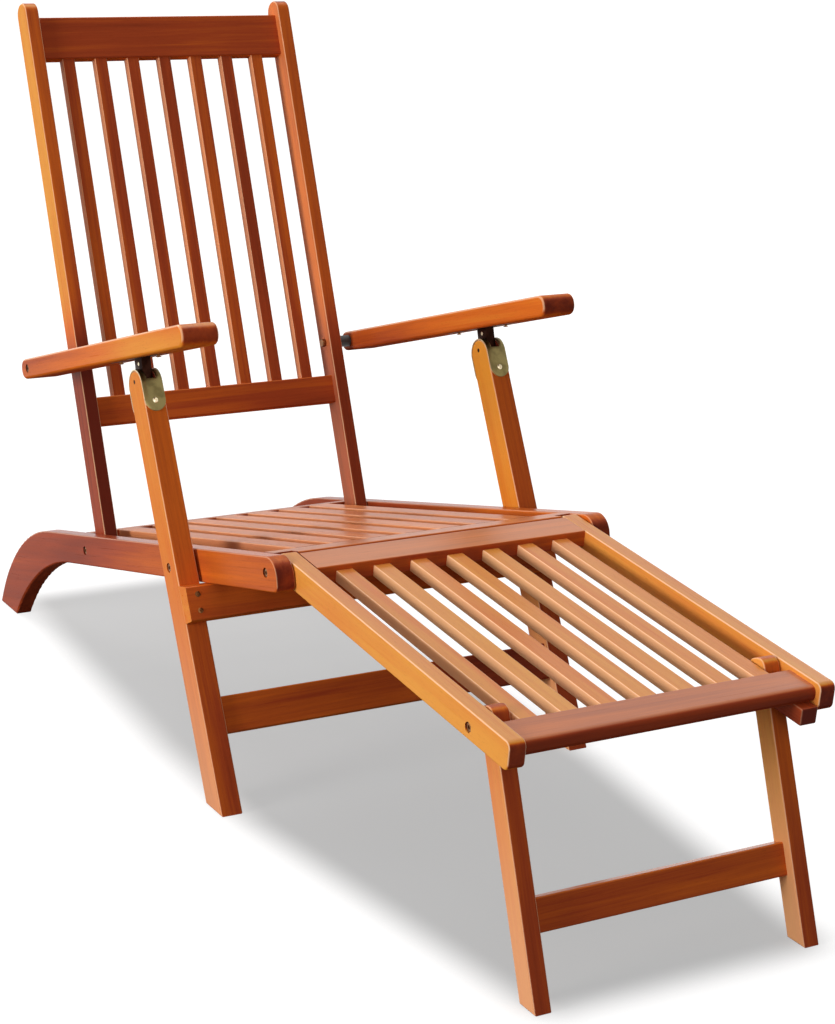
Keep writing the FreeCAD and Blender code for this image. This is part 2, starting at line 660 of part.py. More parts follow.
arm_pivot = BACK.inverse().multVec(ARM.Base)
stile_corners = rectangle(dim("stile_depth") / -2, dim("back_long"), dim("stile_depth") / -2,
                          dim("stile_depth") / 2)
for side, from_x in both_sides(stile_inner, num("stile_thick")):
    stile = prism("back_stile_%s_blank" % side, BACK, stile_corners, from_x, dim("stile_thick"),
                  [((0, 1, 2, 3), dim("stile_nose"))])
    eased(stile)
    bore(stile, [(0, 0, dim("bore_radius")), (arm_pivot.x, arm_pivot.y, dim("bore_radius"))])
    keep("back_stile_" + side, cut(stile, [back_top_tenons, back_bottom_tenons]))
keep("arm_pivot_bolts", group(bolt_pair("arm_bolt", ARM, arm_outer - sunk + gap, stile_inner)))
keep("arm_spacers", group(spacer_pair("arm_spacer", ARM, num("stile_outer"), num("arm_inner") - gap)))


# Arms: each has a groove under it, covered by a slotted brass strip that a hook holds

arm_corners = rectangle(-dim("arm_front"), dim("arm_rear"), dim("arm_thick") / -2, dim("arm_thick") / 2)
under_arm = -num("arm_thick") / 2
strip_low = under_arm - num("strip_thick")
slot_long = dim("slot_front") - dim("slot_rear")
past = dim("groove_past")
for side, sign in (("left", -1), ("right", 1)):
    middle = leg_middle * sign
    arm_from = num("arm_inner") if sign > 0 else -arm_outer
    arm = prism("arm_%s_blank" % side, ARM, arm_corners, arm_from, dim("arm_wide"),
                [((0, 1, 2, 3), dim("arm_nose"))])
    eased(arm, "arm_ease")
    bore(arm, [(0, 0, dim("bore_radius"))])
    groove = box("groove_" + side, ARM,
                 (-dim("slot_front") - past, under_arm - OVER, middle - num("groove_wide") / 2),
                 (slot_long + past * 2, dim("groove_deep") + OVER, dim("groove_wide")))
    slot = box("strip_slot_" + side, ARM,
               (-dim("slot_front"), strip_low - OVER, middle - num("hook_slot") / 2),
               (slot_long, dim("strip_thick") + OVER * 2, dim("hook_slot")))
    places = [(-num("strip_front") + num("strip_screw_in"), strip_low, middle),
              (-num("strip_rear") - num("strip_screw_in"), strip_low, middle)]
    shanks, whole = screws("strip_screw_" + side, ARM, places, -1, "screw_long")
    strip = prism("arm_strip_%s_blank" % side, ARM,
                  rectangle(-dim("strip_front"), -dim("strip_rear"), strip_low, under_arm),
                  middle - num("strip_wide") / 2, dim("strip_wide"))
    head_sink = sink("arm_sink_" + side, ARM, side, arm_outer)
    keep("arm_" + side, cut(arm, [groove, head_sink] + shanks))
    keep("arm_strip_" + side, cut(strip, [slot] + shanks))
    keep("arm_strip_screws_" + side, group(whole))


# Hooks: an eye on a pin in the leg top, a neck through the strip and a cross head above it

PIN = LEG.multVec(FreeCAD.Vector(num("hook_pin_up"), 0, 0))
HOOK = side_frame(PIN.y, PIN.z, 90 - num("arm_slope"))
strip_above = ARM.inverse().multVec(PIN).y
neck_top = under_arm - strip_above + num("groove_deep") - num("hook_head_room")
head_half = num("groove_wide") / 2 - num("hook_head_gap")
for side, sign in (("left", -1), ("right", 1)):
    middle = leg_middle * sign
    low = middle - num("hook_thick") / 2
    eye = disc("hook_eye_" + side, HOOK, (0, 0, low), dim("hook_eye"), dim("hook_thick"))
    neck = box("hook_neck_" + side, HOOK, (0, dim("hook_neck") / -2, low),
               (neck_top, dim("hook_neck"), dim("hook_thick")))
    head = box("hook_head_" + side, HOOK,
               (neck_top - num("hook_head_high"), dim("hook_neck") / -2, middle - head_half),
               (dim("hook_head_high"), dim("hook_neck"), head_half * 2))
    hole = disc("hook_hole_" + side, HOOK, (0, 0, low), dim("bore_radius"), dim("hook_thick"))
    keep("arm_hook_" + side, cut(fuse([eye, neck, head]), [hole]))


# Footrest: stiles on the rail pivots, cross rails and slats, and a block that stops its legs

rest_top = dim("rest_depth") / 2
end_top = rest_top - dim("rest_end_drop")
slat_top = rest_top - dim("rest_slat_drop")
top_rail, top_tenons = cross_rail(
    "footrest_top_rail", REST,
    (-dim("rest_top_from"), -dim("rest_top_from") + dim("rest_top_wide"), rest_top - dim("rest_top_thick"),
     rest_top), rest_inner, dim("rest_top_lean"))
end_rail, end_tenons = cross_rail(
    "footrest_end_rail", REST,
    (-dim("rest_end_from"), -dim("rest_end_from") + dim("rest_end_wide"), end_top - dim("rest_end_thick"),
     end_top), rest_inner, 0, "rest_end_round")
rest_bars = slats("footrest_slat", REST,
                  (-dim("rest_end_from") + dim("rest_end_wide"), -dim("rest_top_from")),
                  (slat_top - dim("rest_slat_thick"), slat_top), "rest_slat_wide", "rest_slat_pitch")
keep("footrest_top_rail", cut(fuse([top_rail, top_tenons]), rest_bars))
keep("footrest_end_rail", cut(fuse([end_rail, end_tenons]), rest_bars))
prop_pivot = REST.inverse().multVec(PROP.Base)
rest_corners = rectangle(-dim("rest_front"), dim("rest_depth") / 2, dim("rest_depth") / -2,
                         dim("rest_depth") / 2)
for side, from_x in both_sides(rest_inner, num("rest_thick")):
    stile = prism("footrest_stile_%s_blank" % side, REST, rest_corners, from_x, dim("rest_thick"),
                  [((0, 3), dim("rest_nose")), ((1,), dim("rest_tail")), ((2,), dim("rest_heel"))])
    eased(stile)
    bore(stile, [(prop_pivot.x, prop_pivot.y, dim("bore_radius"))])
    hole_low = insert_end if side == "right" else -num("stile_outer") - OVER
    hole = disc("pivot_hole_" + side, REST, (0, 0, hole_low), dim("bore_radius"), dim("insert_deep") + OVER)
    head_sink = sink("prop_sink_" + side, PROP, side, num("stile_outer"))
    keep("footrest_stile_" + side, cut(stile, [top_tenons, end_tenons, hole, head_sink]))
nut_face = prop_inner + num("nut_high")
keep("footrest_leg_bolts", group(bolt_pair("prop_bolt", PROP, num("stile_outer") - sunk, nut_face)))
keep("footrest_leg_spacers", group(spacer_pair("prop_spacer", PROP, num("prop_outer") + gap, rest_inner)))


# Footrest legs: two short legs and a cross rail, folding up inside the footrest's stiles

half_prop = num("prop_depth") / 2
prop_corners = [(floor_line(PROP, -half_prop), dim("prop_depth") / -2),
                (dim("prop_above"), dim("prop_depth") / -2),
                (dim("prop_above"), dim("prop_depth") / 2),
                (floor_line(PROP, half_prop), dim("prop_depth") / 2)]
prop_rail, prop_tenons = cross_rail(
    "footrest_leg_rail", PROP,
    (-dim("prop_rail_from"), -dim("prop_rail_from") + dim("prop_rail_high"), dim("prop_depth") / -2,
     dim("prop_depth") / -2 + dim("prop_rail_thick")), prop_inner)
keep("footrest_leg_rail", fuse([prop_rail, prop_tenons]))
for side, from_x in both_sides(prop_inner, num("prop_thick")):
    leg = prism("footrest_leg_%s_blank" % side, PROP, prop_corners, from_x, dim("prop_thick"),
                [((1, 2), dim("prop_nose"))])
    eased(leg)
    bore(leg, [(0, 0, dim("bore_radius"))])
    room_low = prop_inner - OVER if side == "right" else -nut_face - gap
    room = disc("nut_room_" + side, PROP, (0, 0, room_low), dim("nut_radius") + dim("nut_room"),
                dim("nut_high") + OVER + gap)
    keep("footrest_leg_" + side, cut(leg, [prop_tenons, room]))


def leg_face(y):
    """How far along the footrest the folded-out leg's front face is, at this y of its frame."""
    near = REST.inverse().multVec(PROP.multVec(FreeCAD.Vector(0, half_prop + gap, 0)))
    way = REST.Rotation.inverted().multVec(PROP.Rotation.multVec(FreeCAD.Vector(1, 0, 0)))
    return near.x + (y - near.y) * way.x / way.y


rail_under = end_top - dim("rest_end_thick")
block_low = rail_under - dim("block_high")
block_front = -dim("block_front")
block = prism("stop_block_blank", REST,
              [(block_front, block_low), (leg_face(block_low.number), block_low),
               (leg_face(rail_under.number), rail_under), (block_front, rail_under)],
              dim("block_inner"), dim("block_wide"), [((0, 1, 2, 3), dim("ease"))])
eased(block)
keep("footrest_stop_block", block)


# Check every object, then write each sub-part to its own file

doc.recompute()
for item in doc.Objects:
    if "Invalid" in item.State or "Error" in item.State:
        raise RuntimeError("%s did not build: %s" % (item.Label, item.State))
os.makedirs("parts", exist_ok=True)
for piece in pieces:
    if piece.Shape.isNull() or not piece.Shape.isValid() or piece.Shape.Volume < 1:
        raise RuntimeError(piece.Label + " has no valid shape")
    piece.Shape.exportStep("parts/%s.step" % piece.Label)
print(len(pieces), "pieces")
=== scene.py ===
import math

import bmesh
import bpy
import numpy as np
from mathutils import Matrix, Vector


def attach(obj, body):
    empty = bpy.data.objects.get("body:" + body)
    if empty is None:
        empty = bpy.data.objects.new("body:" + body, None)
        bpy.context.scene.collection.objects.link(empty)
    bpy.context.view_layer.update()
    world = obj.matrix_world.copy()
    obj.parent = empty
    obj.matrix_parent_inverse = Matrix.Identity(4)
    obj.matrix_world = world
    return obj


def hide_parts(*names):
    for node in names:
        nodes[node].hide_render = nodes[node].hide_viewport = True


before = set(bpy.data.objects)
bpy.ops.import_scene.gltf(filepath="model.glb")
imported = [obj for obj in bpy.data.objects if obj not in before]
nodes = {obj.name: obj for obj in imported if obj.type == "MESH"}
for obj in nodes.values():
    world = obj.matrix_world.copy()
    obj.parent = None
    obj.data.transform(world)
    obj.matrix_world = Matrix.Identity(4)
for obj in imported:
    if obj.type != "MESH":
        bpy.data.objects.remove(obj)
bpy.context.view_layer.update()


# Camera: it stands where the photograph's own edges say, a little in front of the
# chair's left and above the arms, and looks down along the footrest.

CAMERA_PLACE = (-1.4587, -2.7139, 1.2471)
CAMERA_AZIMUTH = math.radians(29.66)
CAMERA_ELEVATION = math.radians(16.37)
CAMERA_ROLL = math.radians(1.78)
FOCAL_PIXELS = 2319.9
FRAME_HIGH = 1024
SENSOR = 36
CLIP_START = 0.05
CLIP_END = 60

lens = bpy.data.cameras.new("camera")
lens.sensor_width = SENSOR
lens.lens = FOCAL_PIXELS / FRAME_HIGH * SENSOR
lens.clip_start = CLIP_START
lens.clip_end = CLIP_END
camera = bpy.data.objects.new("camera", lens)
bpy.context.collection.objects.link(camera)
ahead = Vector((math.cos(CAMERA_ELEVATION) * math.sin(CAMERA_AZIMUTH),
                math.cos(CAMERA_ELEVATION) * math.cos(CAMERA_AZIMUTH), -math.sin(CAMERA_ELEVATION)))
level = Vector((math.cos(CAMERA_AZIMUTH), -math.sin(CAMERA_AZIMUTH), 0))
upward = level.cross(ahead)
tipped_right = level * math.cos(CAMERA_ROLL) + upward * math.sin(CAMERA_ROLL)
tipped_up = upward * math.cos(CAMERA_ROLL) - level * math.sin(CAMERA_ROLL)
turned_frame = Matrix((tipped_right, tipped_up, -ahead)).transposed()
camera.matrix_world = Matrix.Translation(CAMERA_PLACE) @ turned_frame.to_4x4()
bpy.context.scene.camera = camera


# Studio: a white floor with a soft grey ground shadow painted under the chair, a white
# backdrop, and five softboxes. The strongest by far stands on the chair's left.

# The painted ground shadow: its shape, soft edge and greys. The lamps' own shadows fall on the floor too.
SHADOW_HALF = 0.266
SHADOW_ASIDE = 0.006
SHADOW_FRONT = -0.80
SHADOW_REAR = 0.79
SHADOW_SOFT = 0.085
SHADOW_REAR_GREY = 0.57
SHADOW_FRONT_GREY = 0.47
FRONT_TAPER_FROM = -0.2
FRONT_TAPER = 0.115
REAR_TAPER_FROM = 0.1
REAR_TAPER = 0.07
FLOOR_HALF = 14
FLOOR_LEVEL = -0.0006
FLOOR_GLOW = 0.86
FLOOR_SHEET = 0.28
FLOOR_BOUNCE = 0.14
GLOW_REACH = (1.2, 4)
WHITE = 1.02
WORLD_WAY = (-0.35, 0.45, 0.82)
WORLD_REACH = (-0.3, 0.9)
WORLD_LOW = 0.08
WORLD_HIGH = 0.34


def add_node(tree, kind, **settings):
    """A node of this kind, with its properties set by name."""
    node = tree.nodes.new("ShaderNode" + kind)
    for name, value in settings.items():
        setattr(node, name, value)
    return node


def feed(tree, node, index, value):
    """Give an input a number, a colour or another node's output."""
    if isinstance(value, bpy.types.NodeSocket):
        tree.links.new(value, node.inputs[index])
    else:
        node.inputs[index].default_value = value


def sums(tree, action, first, second=None, third=None):
    """A Math node on outputs or numbers."""
    node = add_node(tree, "Math", operation=action)
    for index, value in enumerate((first, second, third)):
        if value is not None:
            feed(tree, node, index, value)
    return node.outputs[0]


def ramp(tree, value, low, high, start, end):
    """The value carried smoothly from start to end as it goes from low to high."""
    node = add_node(tree, "MapRange", interpolation_type="SMOOTHSTEP")
    for index, number in enumerate((value, low, high, start, end)):
        feed(tree, node, index, number)
    return node.outputs["Result"]


def new_material(name):
    """An empty node material and its output."""
    material = bpy.data.materials.new(name)
    material.use_nodes = True
    tree = material.node_tree
    tree.nodes.clear()
    return material, tree, add_node(tree, "OutputMaterial")


def shown(tree):
    """1 for what the camera sees, straight or in gloss and glass, and 0 for plain light."""
    path = add_node(tree, "LightPath")
    seen = sums(tree, "MAXIMUM", path.outputs["Is Camera Ray"], path.outputs["Is Glossy Ray"])
    return sums(tree, "MAXIMUM", seen, path.outputs["Is Transmission Ray"])


def floor_material():
    """White paper with a painted ground shadow under the chair, a long grey shape about as
    wide as its feet, painted into the floor's colour.

    The shape narrows steadily ahead of one place and behind another, and its edge is soft.
    """
    material, tree, output = new_material("floor")
    place = add_node(tree, "TexCoord")
    split = add_node(tree, "SeparateXYZ")
    feed(tree, split, 0, place.outputs["Object"])
    x, y = split.outputs["X"], split.outputs["Y"]
    # Painted shadow: a soft-edged grey patch in the floor's colour, darker towards the front.
    reach = SHADOW_HALF
    for past, taper in ((sums(tree, "SUBTRACT", FRONT_TAPER_FROM, y), FRONT_TAPER),
                        (sums(tree, "SUBTRACT", y, REAR_TAPER_FROM), REAR_TAPER)):
        narrowed = sums(tree, "MULTIPLY", sums(tree, "MAXIMUM", past, 0), taper)
        reach = sums(tree, "SUBTRACT", reach, narrowed)
    aside = sums(tree, "ABSOLUTE", sums(tree, "SUBTRACT", x, SHADOW_ASIDE))
    inside = sums(tree, "SUBTRACT", reach, aside)
    half = SHADOW_SOFT / 2
    mask = ramp(tree, inside, -half, half, 0, 1)
    mask = sums(tree, "MULTIPLY", mask, ramp(tree, y, SHADOW_FRONT - half, SHADOW_FRONT + half, 0, 1))
    mask = sums(tree, "MULTIPLY", mask, ramp(tree, y, SHADOW_REAR + half, SHADOW_REAR - half, 0, 1))
    grey = ramp(tree, y, SHADOW_FRONT, SHADOW_REAR, SHADOW_FRONT_GREY, SHADOW_REAR_GREY)
    shade = sums(tree, "MULTIPLY_ADD", mask, sums(tree, "SUBTRACT", grey, 1), 1)
    far = sums(tree, "SQRT", sums(tree, "MULTIPLY_ADD", x, x, sums(tree, "MULTIPLY", y, y)))
    glow_level = ramp(tree, far, *GLOW_REACH, FLOOR_GLOW, WHITE)
    glow = add_node(tree, "Emission")
    feed(tree, glow, "Strength", sums(tree, "MULTIPLY", shade, glow_level))
    paper = add_node(tree, "BsdfDiffuse")
    joined = add_node(tree, "CombineColor")
    for index in range(3):
        feed(tree, joined, index, sums(tree, "MULTIPLY", shade, FLOOR_SHEET))
    feed(tree, paper, "Color", joined.outputs[0])
    seen = add_node(tree, "AddShader")
    feed(tree, seen, 0, glow.outputs[0])
    feed(tree, seen, 1, paper.outputs[0])
    bounce = add_node(tree, "BsdfDiffuse")
    bounce.inputs["Color"].default_value = (FLOOR_BOUNCE, FLOOR_BOUNCE, FLOOR_BOUNCE, 1)
    both = add_node(tree, "MixShader")
    feed(tree, both, 0, shown(tree))
    feed(tree, both, 1, bounce.outputs[0])
    feed(tree, both, 2, seen.outputs[0])
    feed(tree, output, "Surface", both.outputs[0])
    return material


floor_mesh = bpy.data.meshes.new("floor")
floor_corners = [(x * FLOOR_HALF, y * FLOOR_HALF, FLOOR_LEVEL)
                 for x, y in ((-1, -1), (1, -1), (1, 1), (-1, 1))]
floor_mesh.from_pydata(floor_corners, [], [(0, 1, 2, 3)])
floor_mesh.materials.append(floor_material())
floor = bpy.data.objects.new("floor", floor_mesh)
bpy.context.collection.objects.link(floor)


def light_world():
    """A white backdrop. The plain light from it is strongest above and behind, and faint in front."""
    world = bpy.data.worlds.new("studio")
    bpy.context.scene.world = world
    world.use_nodes = True
    tree = world.node_tree
    back = tree.nodes["Background"]
    place = add_node(tree, "TexCoord")
    side = add_node(tree, "VectorMath", operation="DOT_PRODUCT")
    feed(tree, side, 0, place.outputs["Generated"])
    feed(tree, side, 1, Vector(WORLD_WAY))
    soft = ramp(tree, side.outputs["Value"], *WORLD_REACH, WORLD_LOW, WORLD_HIGH)
    level = sums(tree, "MULTIPLY_ADD", shown(tree), sums(tree, "SUBTRACT", WHITE, soft), soft)
    feed(tree, back, "Strength", level)
    back.inputs["Color"].default_value = (1, 1, 1, 1)


def softbox(name, place, target, size, power, colour, mirrored=True):
    """A square softbox at a place, facing a target. Without mirrored, gloss doesn't show it."""
    data = bpy.data.lights.new(name, "AREA")
    data.shape = "SQUARE"
    data.size = size
    data.energy = power
    data.color = colour
    light = bpy.data.objects.new(name, data)
    bpy.context.collection.objects.link(light)
    light.location = place
    way = Vector(target) - Vector(place)
    light.rotation_euler = way.to_track_quat("-Z", "Y").to_euler()
    light.visible_glossy = mirrored


light_world()
softbox("left_softbox", (-5.8, -0.7, 1.6), (0, -0.1, 0.45), 2.0, 245, (1.0, 0.98, 0.95), mirrored=False)
softbox("top_softbox", (0.2, 0.9, 3.8), (0, 0, 0.3), 2.4, 38, (1.0, 0.98, 0.96))
softbox("edge_softbox", (-1.2, 3.4, 2.3), (0, 0, 0.35), 1.5, 40, (1.0, 0.98, 0.95))
softbox("front_softbox", (-1.2, -5.0, 2.4), (0, 0, 0.35), 3.0, 64, (1.0, 0.97, 0.94))
softbox("right_softbox", (3.6, 1.6, 1.4), (0, 0, 0.4), 1.8, 24, (1.0, 0.99, 0.97))
bpy.context.scene.view_settings.view_transform = "Standard"


# Seat: two side rails that curve down into the rear feet, two cross rails and seven
# slats tenoned between them, all of oiled reddish hardwood with rounded edges.

DEEP_BROWN = (0.140, 0.020, 0.010, 1)
RED_BROWN = (0.360, 0.056, 0.016, 1)
ORANGE_BROWN = (0.690, 0.152, 0.016, 1)
HONEY = (0.780, 0.310, 0.036, 1)
# Painted light: the colour mixed in on lit faces, and as a painted highlight on arrises.
PAINTED_LIGHT_WOOD = (0.880, 0.530, 0.310, 1)
RED_AT = 0.36
ORANGE_AT = 0.68
PORE_COLOUR = (0.42, 0.30, 0.25, 1)
PORE_EDGE = (0.36, 0.30)
PORE_DARK = 0.22
SATIN_ROUGH = 0.22
STREAK_ROUGH = 0.16
PORE_ROUGH = 0.5
DULL_ROUGH = 0.95
STREAK_RELIEF = 0.5
FIBRE_RELIEF = 0.3
PORE_RELIEF = 0.8
GRAIN_STRENGTH = 0.3
GRAIN_DEPTH = 0.0003
OIL_IOR = 1.11
FILM_IOR = 1.45
FILM_ROUGH = 0.22
TOP_FILM = 0.62
# Painted shade on end grain, as part of its darkness, and on faces that look ahead; a painted highlight on
# arrises.
END_GRAIN_AND_PAINTED_SHADE = 0.36
FRONT_PAINTED_SHADE = 0.20
ARRIS_PAINTED_HIGHLIGHT = 0.6
ARRIS_FILM = 0.3
CUT_SHIFT = 4
CUT_TURN = 0.9
TONE_SPREAD = 0.035
SLOT_EDGE = 0.001
SLOT_FOOT = 0.01
FOOT_REACH = (0.0, 0.34)
SEAT_SLOPE = -13.33

# How far a face is turned to a way, from 0 to 1 or from -1 to 1, where each look begins
# and where it is whole.
TURNED_END = (0.55, 0.95)
TURNED_SIDE = (0.85, 0.98)
ARRIS_BEGINS = (0.3, 0.55)
ARRIS_STOPS = (0.82, 0.95)
LOOKS_AHEAD = (-0.9, -0.5)
LOOKS_DOWN = (-0.05, -0.4)
NOT_DOWN = (-0.35, 0.05)
FILM_UP = (0.6, 0.96)
PAINTED_LIGHT_UP = (0.7, 0.96)

# The grain's noises: features per metre along and across it, detail, roughness and warp.
BANDS = ((1.6, 34), 3, 0.55, 0.7)
STREAKS = ((5, 260), 3, 0.6, 0.25)
FIBRES = ((26, 1300), 2, 0.5, 0.0)
CLOUDS = ((2.6, 9), 2, 0.5, 0.3)
PORES = ((95, 1500), 1, 0.5, 0.0)
BAND_TONE = 0.55
STREAK_TONE = 0.24
FIBRE_TONE = 0.10
CLOUD_TONE = 0.34


def stretched_noise(tree, vector, scales, detail, rough, warp):
    """Noise stretched along the grain: scales are features per metre along and across it."""
    node = add_node(tree, "Mapping")
    feed(tree, node, "Vector", vector)
    node.inputs["Scale"].default_value = (scales[0], scales[1], scales[1])
    noise = add_node(tree, "TexNoise")
    feed(tree, noise, "Vector", node.outputs["Vector"])
    noise.inputs["Scale"].default_value = 1
    noise.inputs["Detail"].default_value = detail
    noise.inputs["Roughness"].default_value = rough
    noise.inputs["Distortion"].default_value = warp
    return noise.outputs["Fac"]


def grain_group():
    """Oiled hardwood: broad bands, fine streaks and short pores along the vector's x, in metres."""
    group = bpy.data.node_groups.new("hardwood_grain", "ShaderNodeTree")
    group.interface.new_socket("Vector", in_out="INPUT", socket_type="NodeSocketVector")
    group.interface.new_socket("Tone", in_out="INPUT", socket_type="NodeSocketFloat")
    for name, kind in (("Color", "Color"), ("Roughness", "Float"), ("Height", "Float")):
        group.interface.new_socket(name, in_out="OUTPUT", socket_type="NodeSocket" + kind)
    start = group.nodes.new("NodeGroupInput")
    end = group.nodes.new("NodeGroupOutput")
    vector = start.outputs["Vector"]
    bands, streaks, fibres, clouds, pores = [stretched_noise(group, vector, *noise)
                                             for noise in (BANDS, STREAKS, FIBRES, CLOUDS, PORES)]
    tone = start.outputs["Tone"]
    for pattern, weight in ((bands, BAND_TONE), (streaks, STREAK_TONE), (fibres, FIBRE_TONE),
                            (clouds, CLOUD_TONE)):
        tone = sums(group, "MULTIPLY_ADD", sums(group, "SUBTRACT", pattern, 0.5), weight, tone)
    colours = add_node(group, "ValToRGB")
    feed(group, colours, "Fac", tone)
    stops = colours.color_ramp
    stops.elements[0].position, stops.elements[0].color = 0.0, DEEP_BROWN
    stops.elements[1].position, stops.elements[1].color = 1.0, HONEY
    for position, colour in ((RED_AT, RED_BROWN), (ORANGE_AT, ORANGE_BROWN)):
        stops.elements.new(position).color = colour
    pore_mask = ramp(group, pores, *PORE_EDGE, 0, PORE_DARK)
    dark = add_node(group, "Mix", data_type="RGBA", blend_type="MULTIPLY")
    feed(group, dark, 0, pore_mask)
    feed(group, dark, 6, colours.outputs["Color"])
    dark.inputs[7].default_value = PORE_COLOUR
    group.links.new(dark.outputs[2], end.inputs["Color"])
    rough = sums(group, "MULTIPLY_ADD", streaks, STREAK_ROUGH, SATIN_ROUGH)
    rough = sums(group, "MULTIPLY_ADD", pore_mask, PORE_ROUGH, rough)
    group.links.new(rough, end.inputs["Roughness"])
    height = sums(group, "MULTIPLY", fibres, FIBRE_RELIEF)
    height = sums(group, "MULTIPLY_ADD", streaks, STREAK_RELIEF, height)
    height = sums(group, "SUBTRACT", height, sums(group, "MULTIPLY", pore_mask, PORE_RELIEF))
    group.links.new(height, end.inputs["Height"])
    return group


GRAIN = grain_group()
draws = np.random.default_rng(11)


def hardwood(node, slope, tone, across=False, fade=None, end_grain_and_painted_shade=END_GRAIN_AND_PAINTED_SHADE, front_painted_shade=FRONT_PAINTED_SHADE,
             side_painted_light=0.0, foot_painted_light=0.0, top_painted_light=0.0, top_film=TOP_FILM, arris_painted_highlight=ARRIS_PAINTED_HIGHLIGHT, slot=None):
    """Give a timber its own cut of the hardwood, with the grain along it.

    The grain climbs from +Y at this slope in the side view, or runs across the chair.
    Tone goes from deep brown at 0 to honey at 1. With fade, tone is what the timber has
    at one place along the grain, and fade gives the two places and the tone at the other.
    End grain is darker by end_grain_and_painted_shade, partly because it drinks more oil and partly as
    painted shade; a negative end_grain_and_painted_shade makes it lighter. The faces that look ahead get
    painted shade, darker by front_painted_shade. Those that look up get painted light, paler by
    top_painted_light, and have a polish of the weight top_film, and those that look down are dull. The
    arrises of the timbers that run fore and aft get a painted highlight, paler by arris_painted_highlight.
    Their faces to the sides get painted light, paler by side_painted_light, and more towards the floor by
    foot_painted_light.
    Slot gives the middle and half width of a slot whose inside is painted dark as shade, and
    where it begins along the grain.
    """
    material, tree, output = new_material("hardwood_" + node)
    place = add_node(tree, "TexCoord")
    turned_ways = []
    for source in ("Object", "Normal"):
        turn = add_node(tree, "VectorRotate", rotation_type="X_AXIS")
        feed(tree, turn, "Vector", place.outputs[source])
        turn.inputs["Angle"].default_value = -math.radians(slope)
        split = add_node(tree, "SeparateXYZ")
        feed(tree, split, 0, turn.outputs["Vector"])
        turned_ways.append(split)
    split, facing = turned_ways
    joined = add_node(tree, "CombineXYZ")
    along = "X" if across else "Y"
    for index, axis in enumerate((along, "Y" if across else "X", "Z")):
        feed(tree, joined, index, split.outputs[axis])
    turned_to = {axis: sums(tree, "ABSOLUTE", facing.outputs[axis]) for axis in "XY"}
    # End grain is darker by end_grain_and_painted_shade, partly its own darker colour and partly painted
    # shade.
    ends = ramp(tree, turned_to[along], *TURNED_END, 0, end_grain_and_painted_shade)
    looks = add_node(tree, "SeparateXYZ")
    feed(tree, looks, 0, place.outputs["Normal"])
    # Painted shade: the faces that look ahead are darker by front_painted_shade.
    front = ramp(tree, looks.outputs["Y"], *LOOKS_AHEAD, front_painted_shade, 0)
    fore_and_aft = 0 if across else 1
    # Painted highlight along the arrises of fore-and-aft timbers, paler by arris_painted_highlight; the same
    # mask gives them some polish.
    arris = sums(tree, "MULTIPLY", ramp(tree, turned_to["X"], *ARRIS_BEGINS, 0, fore_and_aft),
                 ramp(tree, turned_to["X"], *ARRIS_STOPS, 1, 0))
    arris = sums(tree, "MULTIPLY", arris, ramp(tree, looks.outputs["Z"], *NOT_DOWN, 0, 1))
    film = ramp(tree, looks.outputs["Z"], *FILM_UP, 0, top_film)
    film = sums(tree, "MAXIMUM", film, sums(tree, "MULTIPLY", arris, ARRIS_FILM))
    height = add_node(tree, "SeparateXYZ")
    feed(tree, height, 0, place.outputs["Object"])
    # Painted light: faces to the sides are paler by side_painted_light, and more towards the floor by
    # foot_painted_light.
    foot = ramp(tree, height.outputs["Z"], *FOOT_REACH, side_painted_light + foot_painted_light, side_painted_light)
    beside = ramp(tree, turned_to["X"], *TURNED_SIDE, 0, fore_and_aft)
    painted_light = sums(tree, "MULTIPLY_ADD", arris, arris_painted_highlight, sums(tree, "MULTIPLY", beside, foot))
    # Painted light: the faces that look up are paler by top_painted_light.
    painted_light = sums(tree, "ADD", painted_light, ramp(tree, looks.outputs["Z"], *PAINTED_LIGHT_UP, 0, top_painted_light))
    dull = ramp(tree, looks.outputs["Z"], *LOOKS_DOWN, 0, DULL_ROUGH)
    shift = add_node(tree, "Mapping")
    feed(tree, shift, "Vector", joined.outputs["Vector"])
    shift.inputs["Location"].default_value = draws.uniform(-CUT_SHIFT, CUT_SHIFT, 3)
    shift.inputs["Rotation"].default_value = (0, *np.radians(draws.uniform(-CUT_TURN, CUT_TURN, 2)))
    wood = add_node(tree, "Group")
    wood.node_tree = GRAIN
    feed(tree, wood, "Vector", shift.outputs["Vector"])
    tone = tone + draws.uniform(-TONE_SPREAD, TONE_SPREAD)
    if fade:
        place_from, place_to, tone_to = fade
        tone = ramp(tree, split.outputs[along], place_from, place_to, tone, tone_to)
    tone = sums(tree, "SUBTRACT", tone, sums(tree, "ADD", ends, front))
    # Painted shade: the inside of the hook slot in the leg top is darkened.
    if slot:
        middle, half, begins = slot
        off_middle = sums(tree, "SUBTRACT", sums(tree, "ABSOLUTE", split.outputs["X"]), middle)
        inside = ramp(tree, sums(tree, "ABSOLUTE", off_middle), half, half + SLOT_EDGE, 1, 0)
        above = ramp(tree, split.outputs[along], begins, begins + SLOT_FOOT, 0, 1)
        tone = sums(tree, "MULTIPLY_ADD", sums(tree, "MULTIPLY", inside, above), -1, tone)
    feed(tree, wood, "Tone", tone)
